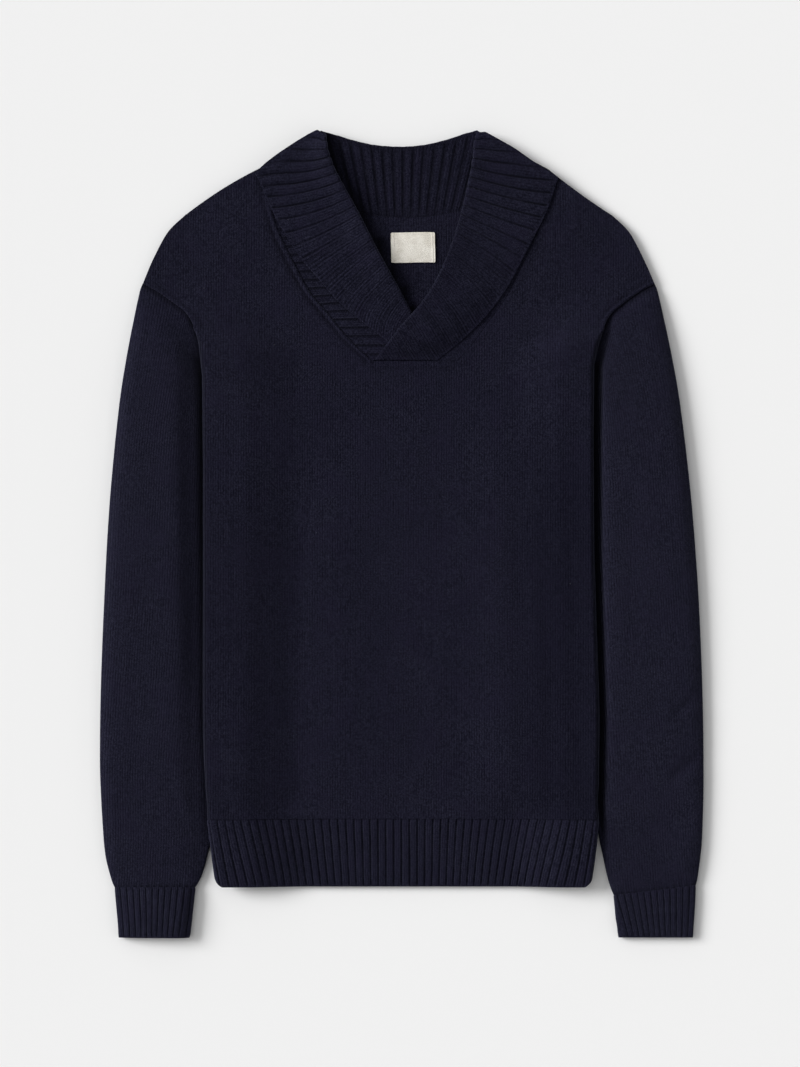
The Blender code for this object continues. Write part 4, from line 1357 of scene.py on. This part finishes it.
# %% Make the collar
LIMB_STEP, BACK_STEP = 1.0, 1.5        # from one row of the grid to the next
limb_turns = strip_turns(stand_columns=48, bend_columns=7, fall_columns=64)
for side, word, table, flat, below in (
        (-1, "left", LEFT_LIMB, (0.13, 0.23), ["front_panel_cloth"]),
        (1, "right", RIGHT_LIMB, (0.13, 0.24), ["front_panel_cloth", "collar_left_cloth"])):
    limb_rows = even_rows(line_of(table, "fold"), LIMB_STEP)
    finish_cloth("collar_" + word + "_cloth", [patch(limb_turns, limb_rows, place_limb(side, table))],
                 RIB_SKIN, rib_wool)
back_turns = strip_turns(stand_columns=34, bend_columns=7, fall_columns=34)
back_rows = even_rows(line_of(BACK_COLLAR, "free"), BACK_STEP)
finish_cloth("collar_back_cloth", [patch(back_turns, back_rows, place_back_collar)], RIB_SKIN, rib_wool)

# %% [markdown]
# ## The label
# The label is a woven ribbon whose two ends are folded under and sewn to the back panel. It is left
# bare. Its weave is far finer than the knit, so it is drawn as fine threads across and along, and
# the folded ends stand a little higher than the middle.

# %% Where the label's points lie
LABEL_WIDTH, LABEL_HEIGHT = 41.8, 28.5
LABEL_X, LABEL_Y = 11.0, 271.3
LABEL_WALL = 0.6
LABEL_GAP = 0.9          # it lies loosely on the back panel
LABEL_CORNER = 1.2       # radius of its corners
TURNED_IN = 3.4          # how much of each end is folded under


def place_label(across, down):
    """Lays the label's points: both its numbers run from -1 to 1."""
    half_x, half_y = 0.5 * LABEL_WIDTH, 0.5 * LABEL_HEIGHT
    near_end = np.clip((np.abs(across) - 1) * half_x + LABEL_CORNER, 0, LABEL_CORNER)
    round_off = LABEL_CORNER - np.sqrt(np.maximum(LABEL_CORNER ** 2 - near_end ** 2, 0))
    x = LABEL_X + across * half_x
    y = LABEL_Y - down * (half_y - round_off) + 0.25 * np.sin(across * 2.4 + 0.5)
    x += 0.25 * np.sin(down * 2.0)
    from_end = (1 - np.abs(across)) * half_x
    turned_in = 0.30 * smooth_step((TURNED_IN - from_end) / 0.5)
    sewn = -0.28 * bell(from_end - 1.3, 0.35)
    bow = 0.35 * np.cos(across * 1.4) * (1 - down ** 2 * 0.6)
    z = neck_lift(x, y) + JERSEY + LABEL_GAP + 0.5 * LABEL_WALL + bow + turned_in + sewn
    return (x, y, z), (across * half_x, -down * half_y), 0.0 * x


# %% Material of the label
THREAD = 0.35            # from one thread to the next
THREAD_DEPTH = 0.06
LINEN, CREAM, BETWEEN_THREADS = (0.68, 0.645, 0.575), (0.82, 0.79, 0.725), (0.50, 0.46, 0.38)
cream_label, tree, shader = start_material(
    "woven_label", roughness=0.75, specular=0.25, sheen=0.15, sheen_roughness=0.4)
across, up, solid = knit_place(tree)
warp = chain(tree, "SINE", chain(tree, "MULTIPLY", across, 2 * math.pi / (THREAD * MM)))
weft = chain(tree, "SINE", chain(tree, "MULTIPLY", up, 2 * math.pi / (THREAD * MM)))
weave = chain(tree, "MULTIPLY", warp, weft)
ribbon = blend_colour(tree, spread(tree, noise(tree, solid, 90), 0.3, 0.7), LINEN, CREAM)
ribbon = blend_colour(tree, spread(tree, weave, -1.0, 1.0, 0.0, 0.25), ribbon, BETWEEN_THREADS)
tree.links.new(ribbon, shader.inputs["Base Color"])
add_bump(tree, shader, weave, THREAD_DEPTH)
print("material: woven_label")

# %% Make the label
LABEL_COLUMNS, LABEL_ROWS = np.linspace(-1, 1, 121), np.linspace(-1, 1, 31)
finish_cloth("label_cloth", [patch(LABEL_COLUMNS, LABEL_ROWS, place_label)], LABEL_WALL, cream_label)

# %% [markdown]
# ## Floor, light and camera
# The sweater lies on a plain pale surface and is seen from straight above. The light is soft: an
# even room fills everything, a window at the upper left draws the ribs and gives the shadow along
# the right side and the bottom, and the white walls of the room send some of its light back. A wide
# sun is a soft light: the wider it looks from the sweater, the softer its shadows.

# %% Floor
FLOOR_Z = -0.9           # just under the lowest of the sleeves' soft undersides
PALE_GREY = (0.783, 0.783, 0.783, 1.0)
bpy.ops.object.select_all(action="DESELECT")
bpy.ops.mesh.primitive_plane_add(size=6, location=(0, 0, FLOOR_Z * MM))
floor = bpy.context.object
floor.name = "floor"
pale_paper, tree, shader = start_material(
    "pale_paper", roughness=0.95, specular=0.0, sheen=0.0, sheen_roughness=0.5)
shader.inputs["Base Color"].default_value = PALE_GREY
floor.data.materials.append(pale_paper)
print("floor:", round(floor.dimensions.x, 2), "m wide")

# %% Light
ROOM_LIGHT = 0.27
scene = bpy.context.scene
world = bpy.data.worlds.new("room")
scene.world = world
world.use_nodes = True
room = world.node_tree.nodes["Background"]
room.inputs["Color"].default_value = (1.0, 1.0, 1.0, 1.0)
room.inputs["Strength"].default_value = ROOM_LIGHT

# width is how wide the light looks from the sweater, and it is tilted about X and Y, all in degrees
Lamp = namedtuple("Lamp", "name strength width tilt_x tilt_y")
for lamp in (
        Lamp("window", 3.45, 28, -16, -59),
        Lamp("white_wall", 1.25, 100, -24, -48),
        Lamp("far_wall", 0.40, 70, 8, 62)):
    bpy.ops.object.light_add(type="SUN", location=(-1, 1, 2))
    light = bpy.context.object
    light.name = lamp.name
    light.data.energy = lamp.strength
    light.data.angle = math.radians(lamp.width)
    light.rotation_euler = (math.radians(lamp.tilt_x), math.radians(lamp.tilt_y), 0.0)
    print("light:", lamp.name)

# %% Camera
LENS = 135.0             # in millimetres, as is the sensor
SENSOR = 36.0
VIEW_HEIGHT = 1.01365    # metres of the surface from the top of the picture to its bottom
CAMERA_X = -1.4          # millimetres
CAMERA_Z = VIEW_HEIGHT * LENS / SENSOR
bpy.ops.object.camera_add(location=(CAMERA_X * MM, 0.0, CAMERA_Z), rotation=(0, 0, 0))
camera = bpy.context.object
camera.name = "camera"
camera.data.lens = LENS
camera.data.sensor_width = SENSOR
scene.camera = camera
scene.view_settings.view_transform = "Standard"
print(f"camera: {CAMERA_Z:.2f} m above the sweater")
